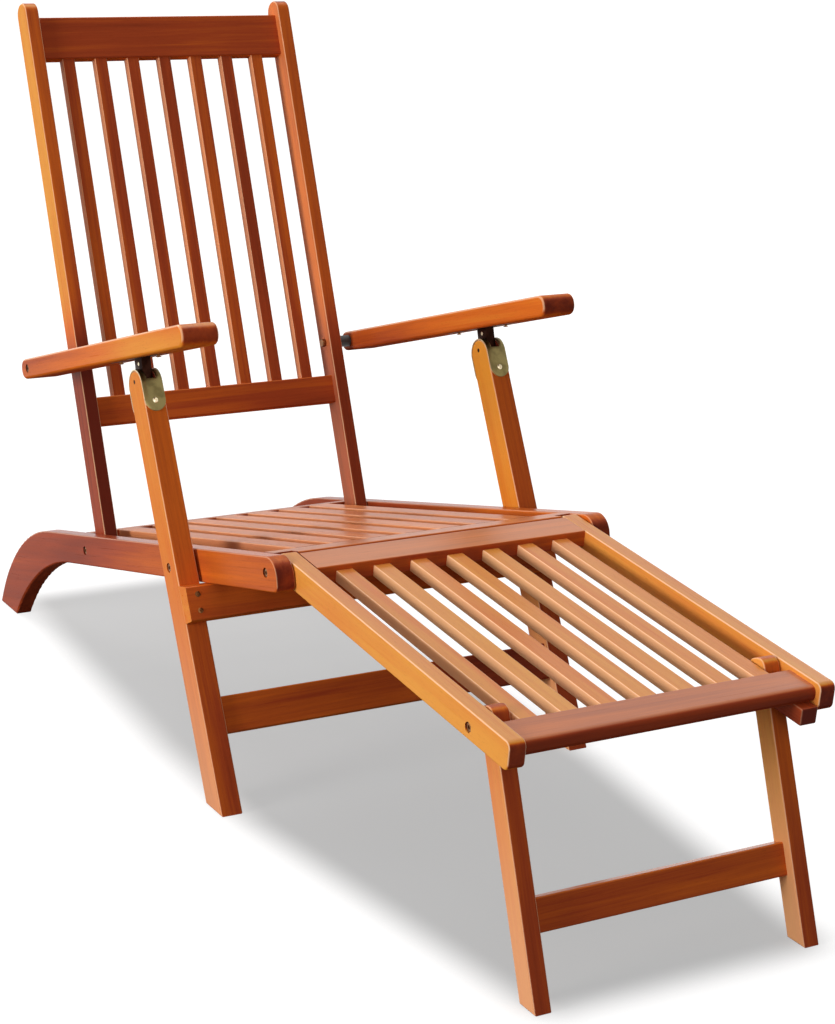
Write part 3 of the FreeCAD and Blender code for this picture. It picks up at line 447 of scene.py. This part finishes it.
    # Mix in PAINTED_LIGHT_WOOD by the painted light and painted highlight worked out above.
    painted_light_and_rim = add_node(tree, "Mix", data_type="RGBA")
    feed(tree, painted_light_and_rim, 0, painted_light)
    feed(tree, painted_light_and_rim, 6, wood.outputs["Color"])
    painted_light_and_rim.inputs[7].default_value = PAINTED_LIGHT_WOOD
    shader = add_node(tree, "BsdfPrincipled")
    feed(tree, shader, "Coat Weight", film)
    shader.inputs["Coat Roughness"].default_value = FILM_ROUGH
    shader.inputs["Coat IOR"].default_value = FILM_IOR
    shader.inputs["IOR"].default_value = OIL_IOR
    feed(tree, shader, "Base Color", painted_light_and_rim.outputs[2])
    feed(tree, shader, "Roughness", sums(tree, "MAXIMUM", wood.outputs["Roughness"], dull))
    bump = add_node(tree, "Bump")
    bump.inputs["Strength"].default_value = GRAIN_STRENGTH
    bump.inputs["Distance"].default_value = GRAIN_DEPTH
    feed(tree, bump, "Height", wood.outputs["Height"])
    feed(tree, shader, "Normal", bump.outputs["Normal"])
    feed(tree, output, "Surface", shader.outputs["BSDF"])
    mesh = nodes[node].data
    mesh.materials.clear()
    mesh.materials.append(material)


for side in ("left", "right"):
    hardwood("seat_rail_" + side, SEAT_SLOPE, 0.60, fade=(-0.20, 0.40, 0.30), top_film=0.3, arris_painted_highlight=0.3)
hardwood("seat_front_rail", SEAT_SLOPE, 0.58, across=True, top_painted_light=0.25, top_film=0.1)
hardwood("seat_rear_rail", SEAT_SLOPE, 0.46, across=True, top_painted_light=0.2, top_film=0.1)
for index in range(1, 8):
    hardwood("seat_slat_%d" % index, SEAT_SLOPE, 0.58 + 0.03 * (index % 3), side_painted_light=0.3,
             top_painted_light=0.2, top_film=0.0)


# Pivot bolts: brass bolts with low round heads and hexagon sockets, each sunk in the
# outer timber, and plain hexagon nuts on the inner side of the joint.

BRASS = (0.30, 0.13, 0.045)
BOLT_RADIUS = 0.003
HEAD_RADIUS = 0.0058
HEAD_HIGH = 0.002
SOCKET_HALF = 0.0024
SOCKET_DEEP = 0.0014
SOCKET_BEVEL = 0.0002
SOCKET_POINT = 0.0003
NUT_HALF = 0.0055
NUT_HIGH = 0.006
NUT_BEVEL = 0.0005
NUT_CHAMFER = 0.0007
SHANK_BEVEL = 0.0006
ROUND_STEPS = 48
SMOOTH_BELOW = 35
MERGE_WITHIN = 1e-6
FLAT_WITHIN = 1e-7
SMUDGE_SCALE = 70
SMUDGE_DETAIL = 5
SMUDGE_EDGE = (0.42, 0.68)
SMUDGE_ROUGH = 0.16
SCUFF_SCALE = 900
SCUFF_ROUGH = 0.12
SCUFF_STRENGTH = 0.15
SCUFF_DEPTH = 0.0001
RIM_TURN = (0.3, 0.8)
LEG_PIVOT = (0.013, 0.292)
BACK_PIVOT = (0.412, 0.197)
REST_PIVOT = (-0.209, 0.346)

# Where each bolt's head and the inner end of its joint are, off the chair's middle.
LEG_BOLT = (0.2826, 0.224)
BACK_BOLT = (0.2466, 0.2011)
REST_BOLT = (0.2466, 0.2143)


def metal(name, colour, rough, tarnish, rim=None):
    """Satin metal with small smudges, and tarnish that darkens and dulls it in patches.

    The edges that look to the sides can have a lighter rim colour.
    """
    material, tree, output = new_material(name)
    place = add_node(tree, "TexCoord")
    patches = add_node(tree, "TexNoise")
    feed(tree, patches, "Vector", place.outputs["Object"])
    patches.inputs["Scale"].default_value = SMUDGE_SCALE
    patches.inputs["Detail"].default_value = SMUDGE_DETAIL
    scuffs = add_node(tree, "TexNoise")
    feed(tree, scuffs, "Vector", place.outputs["Object"])
    scuffs.inputs["Scale"].default_value = SCUFF_SCALE
    mask = ramp(tree, patches.outputs["Fac"], *SMUDGE_EDGE, 0, 1)
    mix = add_node(tree, "Mix", data_type="RGBA")
    feed(tree, mix, 0, mask)
    mix.inputs[6].default_value = (*colour, 1)
    mix.inputs[7].default_value = (*[part * tarnish for part in colour], 1)
    tint = mix.outputs[2]
    if rim:
        looks = add_node(tree, "SeparateXYZ")
        feed(tree, looks, 0, place.outputs["Normal"])
        painted_light_and_rim = add_node(tree, "Mix", data_type="RGBA")
        feed(tree, painted_light_and_rim, 0, ramp(tree, sums(tree, "ABSOLUTE", looks.outputs["X"]), *RIM_TURN, 0, 1))
        feed(tree, painted_light_and_rim, 6, tint)
        painted_light_and_rim.inputs[7].default_value = (*rim, 1)
        tint = painted_light_and_rim.outputs[2]
    shader = add_node(tree, "BsdfPrincipled")
    shader.inputs["Metallic"].default_value = 1
    feed(tree, shader, "Base Color", tint)
    worn = sums(tree, "MULTIPLY_ADD", mask, SMUDGE_ROUGH, rough)
    feed(tree, shader, "Roughness", sums(tree, "MULTIPLY_ADD", scuffs.outputs["Fac"], SCUFF_ROUGH, worn))
    bump = add_node(tree, "Bump")
    bump.inputs["Strength"].default_value = SCUFF_STRENGTH
    bump.inputs["Distance"].default_value = SCUFF_DEPTH
    feed(tree, bump, "Height", scuffs.outputs["Fac"])
    feed(tree, shader, "Normal", bump.outputs["Normal"])
    feed(tree, output, "Surface", shader.outputs["BSDF"])
    return material


def turned(rows, spot, way, steps=ROUND_STEPS):
    """Points and faces of a turned form.

    Row i is a ring at height h_i along the way from the spot. Its radius r_i is a number,
    or an array over the angle for a hexagon or a cross.
    """
    way = np.array(way, float)
    aside = np.cross(way, (0, 0, 1.0) if abs(way[2]) < 0.9 else (1.0, 0, 0))
    aside /= np.linalg.norm(aside)
    across = np.cross(way, aside)
    angle = np.arange(steps) * 2 * np.pi / steps
    ring = np.cos(angle)[:, None] * aside + np.sin(angle)[:, None] * across
    height = np.array([row[0] for row in rows])
    radius = np.array([np.broadcast_to(row[1], steps) for row in rows])
    points = np.array(spot) + height[:, None, None] * way + radius[:, :, None] * ring
    index = np.arange(len(rows) * steps).reshape(len(rows), steps)
    after = np.roll(index, -1, axis=1)
    faces = np.stack([index[:-1], after[:-1], after[1:], index[1:]], axis=-1).reshape(-1, 4)
    return points.reshape(-1, 3), faces


def hexagon(half, steps=ROUND_STEPS):
    """Radius of a hexagon over the angle, half being half its width across the flats."""
    angle = np.arange(steps) * 2 * np.pi / steps
    return half / np.cos((angle + np.pi / 6) % (np.pi / 3) - np.pi / 6)


def new_piece(name, parts, body, material, replaces=()):
    """One object from several sets of points and faces, closed, smooth and riding on a body."""
    points = np.concatenate([part[0] for part in parts])
    faces = []
    first = 0
    for part_points, part_faces in parts:
        faces += [[int(index) + first for index in face] for face in part_faces]
        first += len(part_points)
    mesh = bpy.data.meshes.new(name)
    mesh.from_pydata(points.tolist(), [], faces)
    tidy_mesh(mesh)
    mesh.shade_smooth()
    mesh.set_sharp_from_angle(angle=math.radians(SMOOTH_BELOW))
    mesh.materials.append(material)
    piece = bpy.data.objects.new(name, mesh)
    bpy.context.collection.objects.link(piece)
    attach(piece, body)
    if replaces:
        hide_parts(*replaces)
    return piece


def tidy_mesh(mesh):
    """Merge doubles, drop what has no area and turn every face outwards."""
    work = bmesh.new()
    work.from_mesh(mesh)
    bmesh.ops.remove_doubles(work, verts=work.verts, dist=MERGE_WITHIN)
    bmesh.ops.dissolve_degenerate(work, edges=work.edges, dist=FLAT_WITHIN)
    bmesh.ops.recalc_face_normals(work, faces=work.faces)
    work.to_mesh(mesh)
    work.free()


def bolt(pivot, sign, head_at, end_at, has_nut=True):
    """A pivot bolt: head, shank and nut, from distances off the chair's middle in metres.

    The rows go from the shank's tip to the head's rounded rim and down into the socket.
    """
    spot = (sign * head_at, *pivot)
    out = (sign, 0, 0)
    reach = head_at - end_at
    tail = reach + (NUT_HIGH if has_nut else 0)
    rows = [(-tail, 0), (-tail, BOLT_RADIUS * 0.8), (-tail + SHANK_BEVEL, BOLT_RADIUS), (0, BOLT_RADIUS),
            (0, HEAD_RADIUS * 0.97), (HEAD_HIGH * 0.12, HEAD_RADIUS), (HEAD_HIGH * 0.55, HEAD_RADIUS),
            (HEAD_HIGH * 0.85, HEAD_RADIUS * 0.93), (HEAD_HIGH, HEAD_RADIUS * 0.78),
            (HEAD_HIGH, hexagon(SOCKET_HALF) * 1.06), (HEAD_HIGH - SOCKET_BEVEL, hexagon(SOCKET_HALF)),
            (HEAD_HIGH - SOCKET_DEEP, hexagon(SOCKET_HALF)), (HEAD_HIGH - SOCKET_DEEP - SOCKET_POINT, 0)]
    parts = [turned(rows, spot, out)]
    if has_nut:
        seat_at = (sign * end_at, *pivot)
        flats = hexagon(NUT_HALF)
        worn = np.minimum(flats, NUT_HALF * 1.08)
        rows = [(0, BOLT_RADIUS), (0, worn), (NUT_BEVEL, flats), (NUT_HIGH - NUT_CHAMFER, flats),
                (NUT_HIGH, worn * 0.99), (NUT_HIGH, BOLT_RADIUS * 1.15), (NUT_HIGH - NUT_BEVEL, BOLT_RADIUS)]
        parts.append(turned(rows, seat_at, (-sign, 0, 0)))
    return parts


brass = metal("satin_brass", BRASS, rough=0.22, tarnish=0.62)
leg_bolts = []
frame_bolts = []
for sign in (-1, 1):
    leg_bolts += bolt(LEG_PIVOT, sign, *LEG_BOLT)
    frame_bolts += bolt(BACK_PIVOT, sign, *BACK_BOLT)
    frame_bolts += bolt(REST_PIVOT, sign, *REST_BOLT, has_nut=False)
new_piece("leg_bolts_turned", leg_bolts, "seat", brass, ["leg_pivot_bolts"])
new_piece("frame_bolts_turned", frame_bolts, "seat", brass, ["frame_pivot_bolts"])


# Rings and washers: black nylon, turned, with the corners rubbed off. They keep the
# timbers apart at each pivot.

RING_RADIUS = 0.009
RING_HOLE = 0.00305
RING_EDGE = 0.0005
LEG_RING = (0.2498, 0.2542)
FRAME_RING = (0.2227, 0.224)
NYLON = (0.022, 0.019, 0.017, 1)
NYLON_DUST = (0.075, 0.062, 0.052, 1)
NYLON_ROUGH = 0.38
DUST_ROUGH = 0.2
DUST_SCALE = 240
DUST_DETAIL = 4
DUST_EDGE = (0.45, 0.75)
DUST_MOST = 0.5


def nylon_material():
    """Black nylon, satin, a little dusty."""
    material, tree, output = new_material("black_nylon")
    place = add_node(tree, "TexCoord")
    dust = add_node(tree, "TexNoise")
    feed(tree, dust, "Vector", place.outputs["Object"])
    dust.inputs["Scale"].default_value = DUST_SCALE
    dust.inputs["Detail"].default_value = DUST_DETAIL
    mix = add_node(tree, "Mix", data_type="RGBA")
    feed(tree, mix, 0, ramp(tree, dust.outputs["Fac"], *DUST_EDGE, 0, DUST_MOST))
    mix.inputs[6].default_value = NYLON
    mix.inputs[7].default_value = NYLON_DUST
    shader = add_node(tree, "BsdfPrincipled")
    feed(tree, shader, "Base Color", mix.outputs[2])
    feed(tree, shader, "Roughness", sums(tree, "MULTIPLY_ADD", dust.outputs["Fac"], DUST_ROUGH, NYLON_ROUGH))
    feed(tree, output, "Surface", shader.outputs["BSDF"])
    return material


def ring(pivot, sign, inner, outer):
    """A turned ring round a pivot, between two distances off the chair's middle."""
    thick = outer - inner
    edge = min(RING_EDGE, thick * 0.3)
    rows = [(0, RING_HOLE + edge), (0, RING_RADIUS - edge), (edge, RING_RADIUS), (thick - edge, RING_RADIUS),
            (thick, RING_RADIUS - edge), (thick, RING_HOLE + edge), (thick - edge, RING_HOLE),
            (edge, RING_HOLE), (0, RING_HOLE + edge)]
    return turned(rows, (sign * inner, *pivot), (sign, 0, 0))


nylon = nylon_material()
seat_rings = []
for sign in (-1, 1):
    seat_rings.append(ring(LEG_PIVOT, sign, *LEG_RING))
    seat_rings.append(ring(BACK_PIVOT, sign, *FRAME_RING))
    seat_rings.append(ring(REST_PIVOT, sign, *FRAME_RING))
new_piece("seat_rings_turned", seat_rings, "seat", nylon, ["seat_spacers"])


# Front legs: two timbers with rounded tops, a stop board across their fronts that the
# side rails lie on, and a cross rail below, all of the same hardwood.

LEG_LEAN = 63
LEG_MIDDLE = 0.270
# Where the hook slot in each leg top is painted dark as shade.
LEG_SLOT_PAINTED_SHADE = (LEG_MIDDLE, 0.0076, 0.49)

hardwood("front_leg_left", LEG_LEAN, 0.86, fade=(0.50, 0.0, 0.60), foot_painted_light=0.40, front_painted_shade=0.22,
         slot=LEG_SLOT_PAINTED_SHADE)
hardwood("front_leg_right", LEG_LEAN, 0.96, fade=(0.50, 0.0, 0.78), foot_painted_light=0.45, front_painted_shade=0.45,
         slot=LEG_SLOT_PAINTED_SHADE)
hardwood("leg_stop_board", LEG_LEAN, 0.68, across=True, end_grain_and_painted_shade=-0.1)
hardwood("leg_cross_rail", LEG_LEAN, 0.72, across=True, fade=(0.02, 0.17, 0.34))


# Screws: small brass countersunk heads with cross recesses, two in each end of the
# stop board and one in each end of the leg straps.

SCREW_RADIUS = 0.002
SCREW_HEAD = 0.0038
SCREW_HIGH = 0.0012
CROSS_HALF = 0.0005
CROSS_LONG = 0.0021
CROSS_DEEP = 0.0008
CROSS_POINT = 0.001
AGED_BRASS = (0.24, 0.10, 0.035)
BRIGHT_BRASS = (0.86, 0.74, 0.50)
LONG_SCREW = 0.038
SHORT_SCREW = 0.014
SCREW_POINT = 0.003
BOARD_FACE = 0.0445
BOARD_SCREWS_AT = (-0.06781, -0.04573)
STRAP_FACE = 0.0241
STRAP_SCREW_AT = 0.2246


def cross(steps=ROUND_STEPS):
    """Radius of a cross over the angle: as long as its arms, or as wide as their width allows."""
    angle = np.arange(steps) * 2 * np.pi / steps
    near = (angle + np.pi / 4) % (np.pi / 2) - np.pi / 4
    return np.minimum(CROSS_LONG / np.cos(near), CROSS_HALF / np.maximum(np.abs(np.sin(near)), 1e-3))


def screw(spot, way, long):
    """A screw whose head lies on the spot, with its shank going in against the way."""
    rows = [(-long, 0), (-long + SCREW_POINT, SCREW_RADIUS), (0, SCREW_RADIUS), (0, SCREW_HEAD * 0.98),
            (SCREW_HIGH * 0.25, SCREW_HEAD), (SCREW_HIGH * 0.7, SCREW_HEAD * 0.86),
            (SCREW_HIGH, SCREW_HEAD * 0.62), (SCREW_HIGH, cross() * 1.05),
            (SCREW_HIGH - CROSS_DEEP, cross() * 0.9), (SCREW_HIGH - CROSS_POINT, 0)]
    return turned(rows, spot, way)


def leg_place(along, across, x):
    """A point of the leg's own frame: along it, in front of its middle, and across the chair."""
    lean = math.radians(LEG_LEAN)
    return np.array((x, LEG_PIVOT[0] + along * math.cos(lean) - across * math.sin(lean),
                     LEG_PIVOT[1] + along * math.sin(lean) + across * math.cos(lean)))


LEG_FORWARD = leg_place(0, 1, 0) - leg_place(0, 0, 0)
board_screws = [screw(leg_place(up, BOARD_FACE, sign * LEG_MIDDLE), LEG_FORWARD, LONG_SCREW)
                for sign in (-1, 1) for up in BOARD_SCREWS_AT]
aged_brass = metal("aged_brass", AGED_BRASS, rough=0.30, tarnish=0.5)
new_piece("board_screws_turned", board_screws, "front_legs", aged_brass, ["stop_board_screws"])

strap_screws = [screw(leg_place(STRAP_SCREW_AT, face * STRAP_FACE, sign * LEG_MIDDLE),
                      face * LEG_FORWARD, SHORT_SCREW)
                for sign in (-1, 1) for face in (-1, 1)]
bright_brass = metal("bright_brass", BRIGHT_BRASS, rough=0.22, tarnish=0.8)
new_piece("strap_screws_turned", strap_screws, "front_legs", bright_brass, ["strap_screws"])


# Straps: a brass strip nearly as wide as the leg, bent over its top and screwed front and
# rear, with rounded ends and a slot in which the hook turns.

STRAP_HALF = 0.015
STRAP_THICK = 0.0016
STRAP_END = 0.2100
STRAP_NOSE = 0.0149
STRAP_STRAIGHT = 0.2265
STRAP_SLOT_HALF = 0.007
STRAP_SLOT_FRONT = 0.254
STRAP_SLOT_REAR = 0.2434
STRAP_EDGE = 0.0004
SHARP_ABOVE = 40
LEG_TOP = 0.272
LEG_HALF = 0.0225
LEG_NOSE = 0.022
STRAP_BRASS = (0.23, 0.18, 0.07)
STRAP_RIM = (0.75, 0.58, 0.34)


def spans(path):
    """How far along a path each of its points is."""
    return np.concatenate(([0], np.cumsum(np.linalg.norm(np.diff(path, axis=0), axis=1))))


def slotted_sheet(path, face, half, slot, slot_half, nose):
    """A sheet strip along a path, with rounded ends and a slot: points and faces of its face.

    Each point of the path is repeated at four places across the strip: both edges and both
    sides of the slot. Near an end the half width follows a circle of the nose's radius. The
    cells between the two middle places are left out from one slot end to the other.
    """
    span = spans(path)
    from_end = np.minimum(span, span[-1] - span)
    inward = np.clip(nose - from_end, 0, nose)
    wide = half - nose + np.sqrt(nose ** 2 - inward ** 2)
    narrow = np.minimum(slot_half, wide * 0.5)
    across = np.stack([-wide, -narrow, narrow, wide], axis=1)
    points = path[:, None, :] + across[:, :, None] * np.array(face)
    index = np.arange(points.shape[0] * 4).reshape(-1, 4)
    cells = np.stack([index[:-1, :-1], index[1:, :-1], index[1:, 1:], index[:-1, 1:]], axis=-1)
    middle = (span[:-1] + span[1:]) / 2
    keep = np.ones(cells.shape[:2], bool)
    keep[(middle > slot[0]) & (middle < slot[1]), 1] = False
    return points.reshape(-1, 3), cells[keep]


def strap_path():
    """The leg's outline in its own frame from the front end up, over the round top and down."""
    low = np.concatenate((STRAP_END + STRAP_NOSE * (1 - np.cos(np.linspace(0, np.pi / 2, 9))),
                          np.linspace(STRAP_STRAIGHT, LEG_TOP - LEG_NOSE, 14)))
    turn = np.linspace(0, np.pi / 2, 15)[1:]
    over = np.stack([LEG_TOP - LEG_NOSE + LEG_NOSE * np.sin(turn),
                     LEG_HALF - LEG_NOSE + LEG_NOSE * np.cos(turn)], 1)
    front = np.concatenate((np.stack([low, np.full(len(low), LEG_HALF)], 1), over))
    return np.concatenate((front, front[::-1] * (1, -1)))


def finish_sheet(piece, thick, edge):
    """Give a sheet piece its thickness outwards and round its edges."""
    solid = piece.modifiers.new("thickness", "SOLIDIFY")
    solid.thickness = thick
    solid.offset = 1
    rounded = piece.modifiers.new("edges", "BEVEL")
    rounded.width = edge
    rounded.segments = 2
    rounded.limit_method = "ANGLE"
    rounded.angle_limit = math.radians(SHARP_ABOVE)


strap_brass = metal("strap_brass", STRAP_BRASS, rough=0.24, tarnish=0.7, rim=STRAP_RIM)
outline = strap_path()
slot_start = STRAP_SLOT_FRONT - STRAP_END
slot_end = spans(outline)[-1] - (STRAP_SLOT_REAR - STRAP_END)
for side, sign in (("left", -1), ("right", 1)):
    path = np.array([leg_place(up, out, sign * LEG_MIDDLE) for up, out in outline])
    points, cells = slotted_sheet(path, (1, 0, 0), STRAP_HALF, (slot_start, slot_end), STRAP_SLOT_HALF,
                                  STRAP_NOSE)
    strap = new_piece("leg_strap_" + side, [(points, cells)], "front_legs", strap_brass,
                      ["leg_straps"] if side == "left" else [])
    finish_sheet(strap, STRAP_THICK, STRAP_EDGE)


# Hook pins: plain dark bronze rods through the leg tops, domed a little at both ends.

PIN_UP = 0.257
PIN_RADIUS = 0.003
PIN_INNER = 0.2545
PIN_LONG = 0.031
PIN_CROWN = 0.0001
PIN_DOME = 0.0006
SMALL_STEPS = 32
BRONZE = (0.030, 0.010, 0.006)

bronze = metal("dark_bronze", BRONZE, rough=0.36, tarnish=0.55)
pin_rows = [(0, 0), (PIN_CROWN, PIN_RADIUS * 0.6), (PIN_DOME, PIN_RADIUS), (PIN_LONG - PIN_DOME, PIN_RADIUS),
            (PIN_LONG - PIN_CROWN, PIN_RADIUS * 0.6), (PIN_LONG, 0)]
pins = [turned(pin_rows, leg_place(PIN_UP, 0, sign * PIN_INNER), (sign, 0, 0), SMALL_STEPS)
        for sign in (-1, 1)]
new_piece("hook_pins_turned", pins, "front_legs", bronze, ["hook_pins"])


# Back: two stiles with rounded tops, two cross rails and seven slats tenoned between
# them. The stiles turn on bolts inside the side rails.

BACK_LEAN = 67.8
ARM_PIVOT = (0.517, 0.458)
ARM_BOLT = (0.2946, 0.2014)
ARM_RING = (0.2224, 0.2442)

# Painted shade: the back stiles are much darker below the arms than above them, by their tone and fade.
hardwood("back_stile_left", BACK_LEAN, 0.16, fade=(0.56, 0.74, 0.92), front_painted_shade=0.42)
hardwood("back_stile_right", BACK_LEAN, 0.24, fade=(0.56, 0.74, 0.58), front_painted_shade=0.10, side_painted_light=0.12)
hardwood("back_top_rail", BACK_LEAN, 0.60, across=True)
hardwood("back_bottom_rail", BACK_LEAN, 0.58, across=True)
for index in range(1, 8):
    hardwood("back_slat_%d" % index, BACK_LEAN, 0.58 + 0.02 * (index % 2), side_painted_light=0.3, front_painted_shade=0.2)
arm_bolts = []
arm_rings = []
for sign in (-1, 1):
    arm_bolts += bolt(ARM_PIVOT, sign, *ARM_BOLT)
    arm_rings.append(ring(ARM_PIVOT, sign, *ARM_RING))
new_piece("arm_bolts_turned", arm_bolts, "back", aged_brass, ["arm_pivot_bolts"])
new_piece("arm_rings_turned", arm_rings, "back", nylon, ["arm_spacers"])


# Arms: straight timbers with well rounded edges and ends. A slotted strip of brass is
# screwed under each, over a groove for the hook's head.

ARM_SLOPE = -16.1
STRIP_HALF = 0.013
STRIP_THICK = 0.0025
STRIP_UNDER = 0.015
STRIP_FRONT = -0.470
STRIP_REAR = -0.290
STRIP_NOSE = 0.003
STRIP_EDGE = 0.0005
STRIP_SLOT = (-0.424, -0.357)
STRIP_SCREWS_AT = (-0.448, -0.312)
STRIP_BRASS = (0.10, 0.07, 0.03)


def arm_place(along, up, x):
    """A point of the arm's own frame: behind its pivot, above its middle, and across the chair."""
    slope = math.radians(ARM_SLOPE)
    return np.array((x, ARM_PIVOT[0] + along * math.cos(slope) - up * math.sin(slope),
                     ARM_PIVOT[1] + along * math.sin(slope) + up * math.cos(slope)))


ARM_DOWN = arm_place(0, -1, 0) - arm_place(0, 0, 0)
strip_brass = metal("strip_brass", STRIP_BRASS, rough=0.36, tarnish=0.6)
spread = np.concatenate((STRIP_FRONT + STRIP_NOSE * (1 - np.cos(np.linspace(0, np.pi / 2, 6))), STRIP_SLOT,
                         STRIP_REAR - STRIP_NOSE * np.sin(np.linspace(np.pi / 2, 0, 6))))
strip_slot = [end - STRIP_FRONT for end in STRIP_SLOT]
for side, sign, tone, top_painted_light, top_film in (("left", -1, 0.84, 0.2, 0.5), ("right", 1, 0.68, 0.0, 0.2)):
    hardwood("arm_" + side, ARM_SLOPE, tone, fade=(-0.16, 0.36, 0.44), top_painted_light=top_painted_light, top_film=top_film)
    path = np.array([arm_place(along, -STRIP_UNDER, sign * LEG_MIDDLE) for along in spread])
    points, cells = slotted_sheet(path, (1, 0, 0), STRIP_HALF, strip_slot, STRAP_SLOT_HALF, STRIP_NOSE)
    strip = new_piece("arm_strip_plate_" + side, [(points, cells)], side + "_arm", strip_brass,
                      ["arm_strip_" + side])
    finish_sheet(strip, STRIP_THICK, STRIP_EDGE)
    heads = [screw(arm_place(along, -STRIP_UNDER - STRIP_THICK, sign * LEG_MIDDLE), ARM_DOWN, SHORT_SCREW)
             for along in STRIP_SCREWS_AT]
    new_piece("arm_strip_screws_turned_" + side, heads, side + "_arm", brass,
              ["arm_strip_screws_" + side])


# Hooks: dark bronze plates 13.4 mm thick, with a round eye on the pin in the leg top, a
# broad neck through the strip's slot, a cross head above it and a rivet in the neck.

HOOK_HALF = 0.0067
HOOK_EYE = 0.013
HOOK_TOP = 0.0429
HOOK_EDGE = 0.0008
NECK_FROM = 0.02
HEAD_HALF = 0.0092
HEAD_THICK = 0.006
RIVET_UP = 0.024
RIVET_RADIUS = 0.0026
RIVET_ROWS = ((-0.001, 0), (-0.001, RIVET_RADIUS), (0, RIVET_RADIUS), (0.0001, RIVET_RADIUS - 0.0003),
              (0.0002, RIVET_RADIUS - 0.0011), (0.00022, 0))


def hook_place(along, across, x):
    """A point of the hook's own frame: up its neck, towards the front, and across the chair."""
    lean = math.radians(90 + ARM_SLOPE)
    foot = leg_place(PIN_UP, 0, 0)
    return np.array((x, foot[1] + along * math.cos(lean) - across * math.sin(lean),
                     foot[2] + along * math.sin(lean) + across * math.cos(lean)))


def plate(loop, low, high, edge):
    """A plate in the hook's frame: its outline carried across the chair, drawn in near both faces."""
    loop = np.array(loop)
    middle = loop.mean(axis=0)
    reach = np.linalg.norm(loop - middle, axis=1, keepdims=True)
    drawn = middle + (loop - middle) * (1 - edge / reach)
    half = middle + (loop - middle) * (1 - 0.3 * edge / reach)
    rings = [(low, drawn), (low + edge * 0.3, half), (low + edge, loop), (high - edge, loop),
             (high - edge * 0.3, half), (high, drawn)]
    points = np.array([hook_place(up, out, x) for x, outline in rings for up, out in outline])
    count = len(loop)
    index = np.arange(len(points)).reshape(-1, count)
    after = np.roll(index, -1, axis=1)
    faces = np.stack([index[:-1], after[:-1], after[1:], index[1:]], axis=-1).reshape(-1, 4).tolist()
    return points, faces + [index[0].tolist(), index[-1].tolist()]


eye_turn = np.linspace(np.pi / 2, 3 * np.pi / 2, 25)
neck = [(HOOK_EYE * math.cos(angle), HOOK_EYE * math.sin(angle)) for angle in eye_turn]
neck += [(up, -HOOK_EYE) for up in (NECK_FROM, HOOK_TOP - HEAD_THICK / 2)]
neck += [(up, HOOK_EYE) for up in (HOOK_TOP - HEAD_THICK / 2, NECK_FROM)]
head = [(HOOK_TOP - HEAD_THICK, -HOOK_EYE), (HOOK_TOP, -HOOK_EYE), (HOOK_TOP, HOOK_EYE),
        (HOOK_TOP - HEAD_THICK, HOOK_EYE)]
for side, sign in (("left", -1), ("right", 1)):
    middle = sign * LEG_MIDDLE
    parts = [plate(neck, middle - HOOK_HALF, middle + HOOK_HALF, HOOK_EDGE),
             plate(head, middle - HEAD_HALF, middle + HEAD_HALF, HOOK_EDGE)]
    new_piece("hook_plate_" + side, parts, side + "_hook", bronze, ["arm_hook_" + side])
    rivets = [turned(RIVET_ROWS, hook_place(RIVET_UP, 0, middle + face * HOOK_HALF), (face, 0, 0),
                     SMALL_STEPS) for face in (-1, 1)]
    new_piece("hook_rivets_turned_" + side, rivets, side + "_hook", bright_brass)


# Footrest: two stiles, two cross rails and seven slats like the seat's, turning on
# bolts in the noses of the side rails, and a block that stops its legs.

REST_SLOPE = 5.31
PROP_LEAN = 70.1
PROP_PIVOT = (-0.670, 0.300)
PROP_BOLT = (0.2192, 0.181)
PROP_RING = (0.1983, 0.1996)

for side, far_tone in (("left", 0.96), ("right", 0.84)):
    hardwood("footrest_stile_" + side, REST_SLOPE, 0.86, fade=(-0.25, -0.72, far_tone), end_grain_and_painted_shade=0.62,
             side_painted_light=0.08, top_painted_light=0.15, arris_painted_highlight=0.9)
hardwood("footrest_top_rail", REST_SLOPE, 0.56, across=True, top_painted_light=0.3)
hardwood("footrest_end_rail", REST_SLOPE, 0.54, across=True, front_painted_shade=0.30, top_painted_light=0.2)
hardwood("footrest_stop_block", REST_SLOPE, 0.28, arris_painted_highlight=0.2)
for index in range(1, 8):
    hardwood("footrest_slat_%d" % index, REST_SLOPE, 0.84 + 0.04 * (index % 3), side_painted_light=0.65, top_painted_light=0.1,
             arris_painted_highlight=1.0)
prop_bolts = []
prop_rings = []
for sign in (-1, 1):
    prop_bolts += bolt(PROP_PIVOT, sign, *PROP_BOLT)
    prop_rings.append(ring(PROP_PIVOT, sign, *PROP_RING))
new_piece("footrest_bolts_turned", prop_bolts, "footrest", brass, ["footrest_leg_bolts"])
new_piece("footrest_rings_turned", prop_rings, "footrest", nylon, ["footrest_leg_spacers"])


# Footrest legs: two short timbers with rounded tops and a cross rail, folding up
# inside the footrest's stiles.

for side, tone in (("left", 0.84), ("right", 0.94)):
    hardwood("footrest_leg_" + side, PROP_LEAN, tone, fade=(0.05, -0.25, tone - 0.10), front_painted_shade=0.42,
             side_painted_light=0.12, foot_painted_light=0.40)
hardwood("footrest_leg_rail", PROP_LEAN, 0.68, across=True)
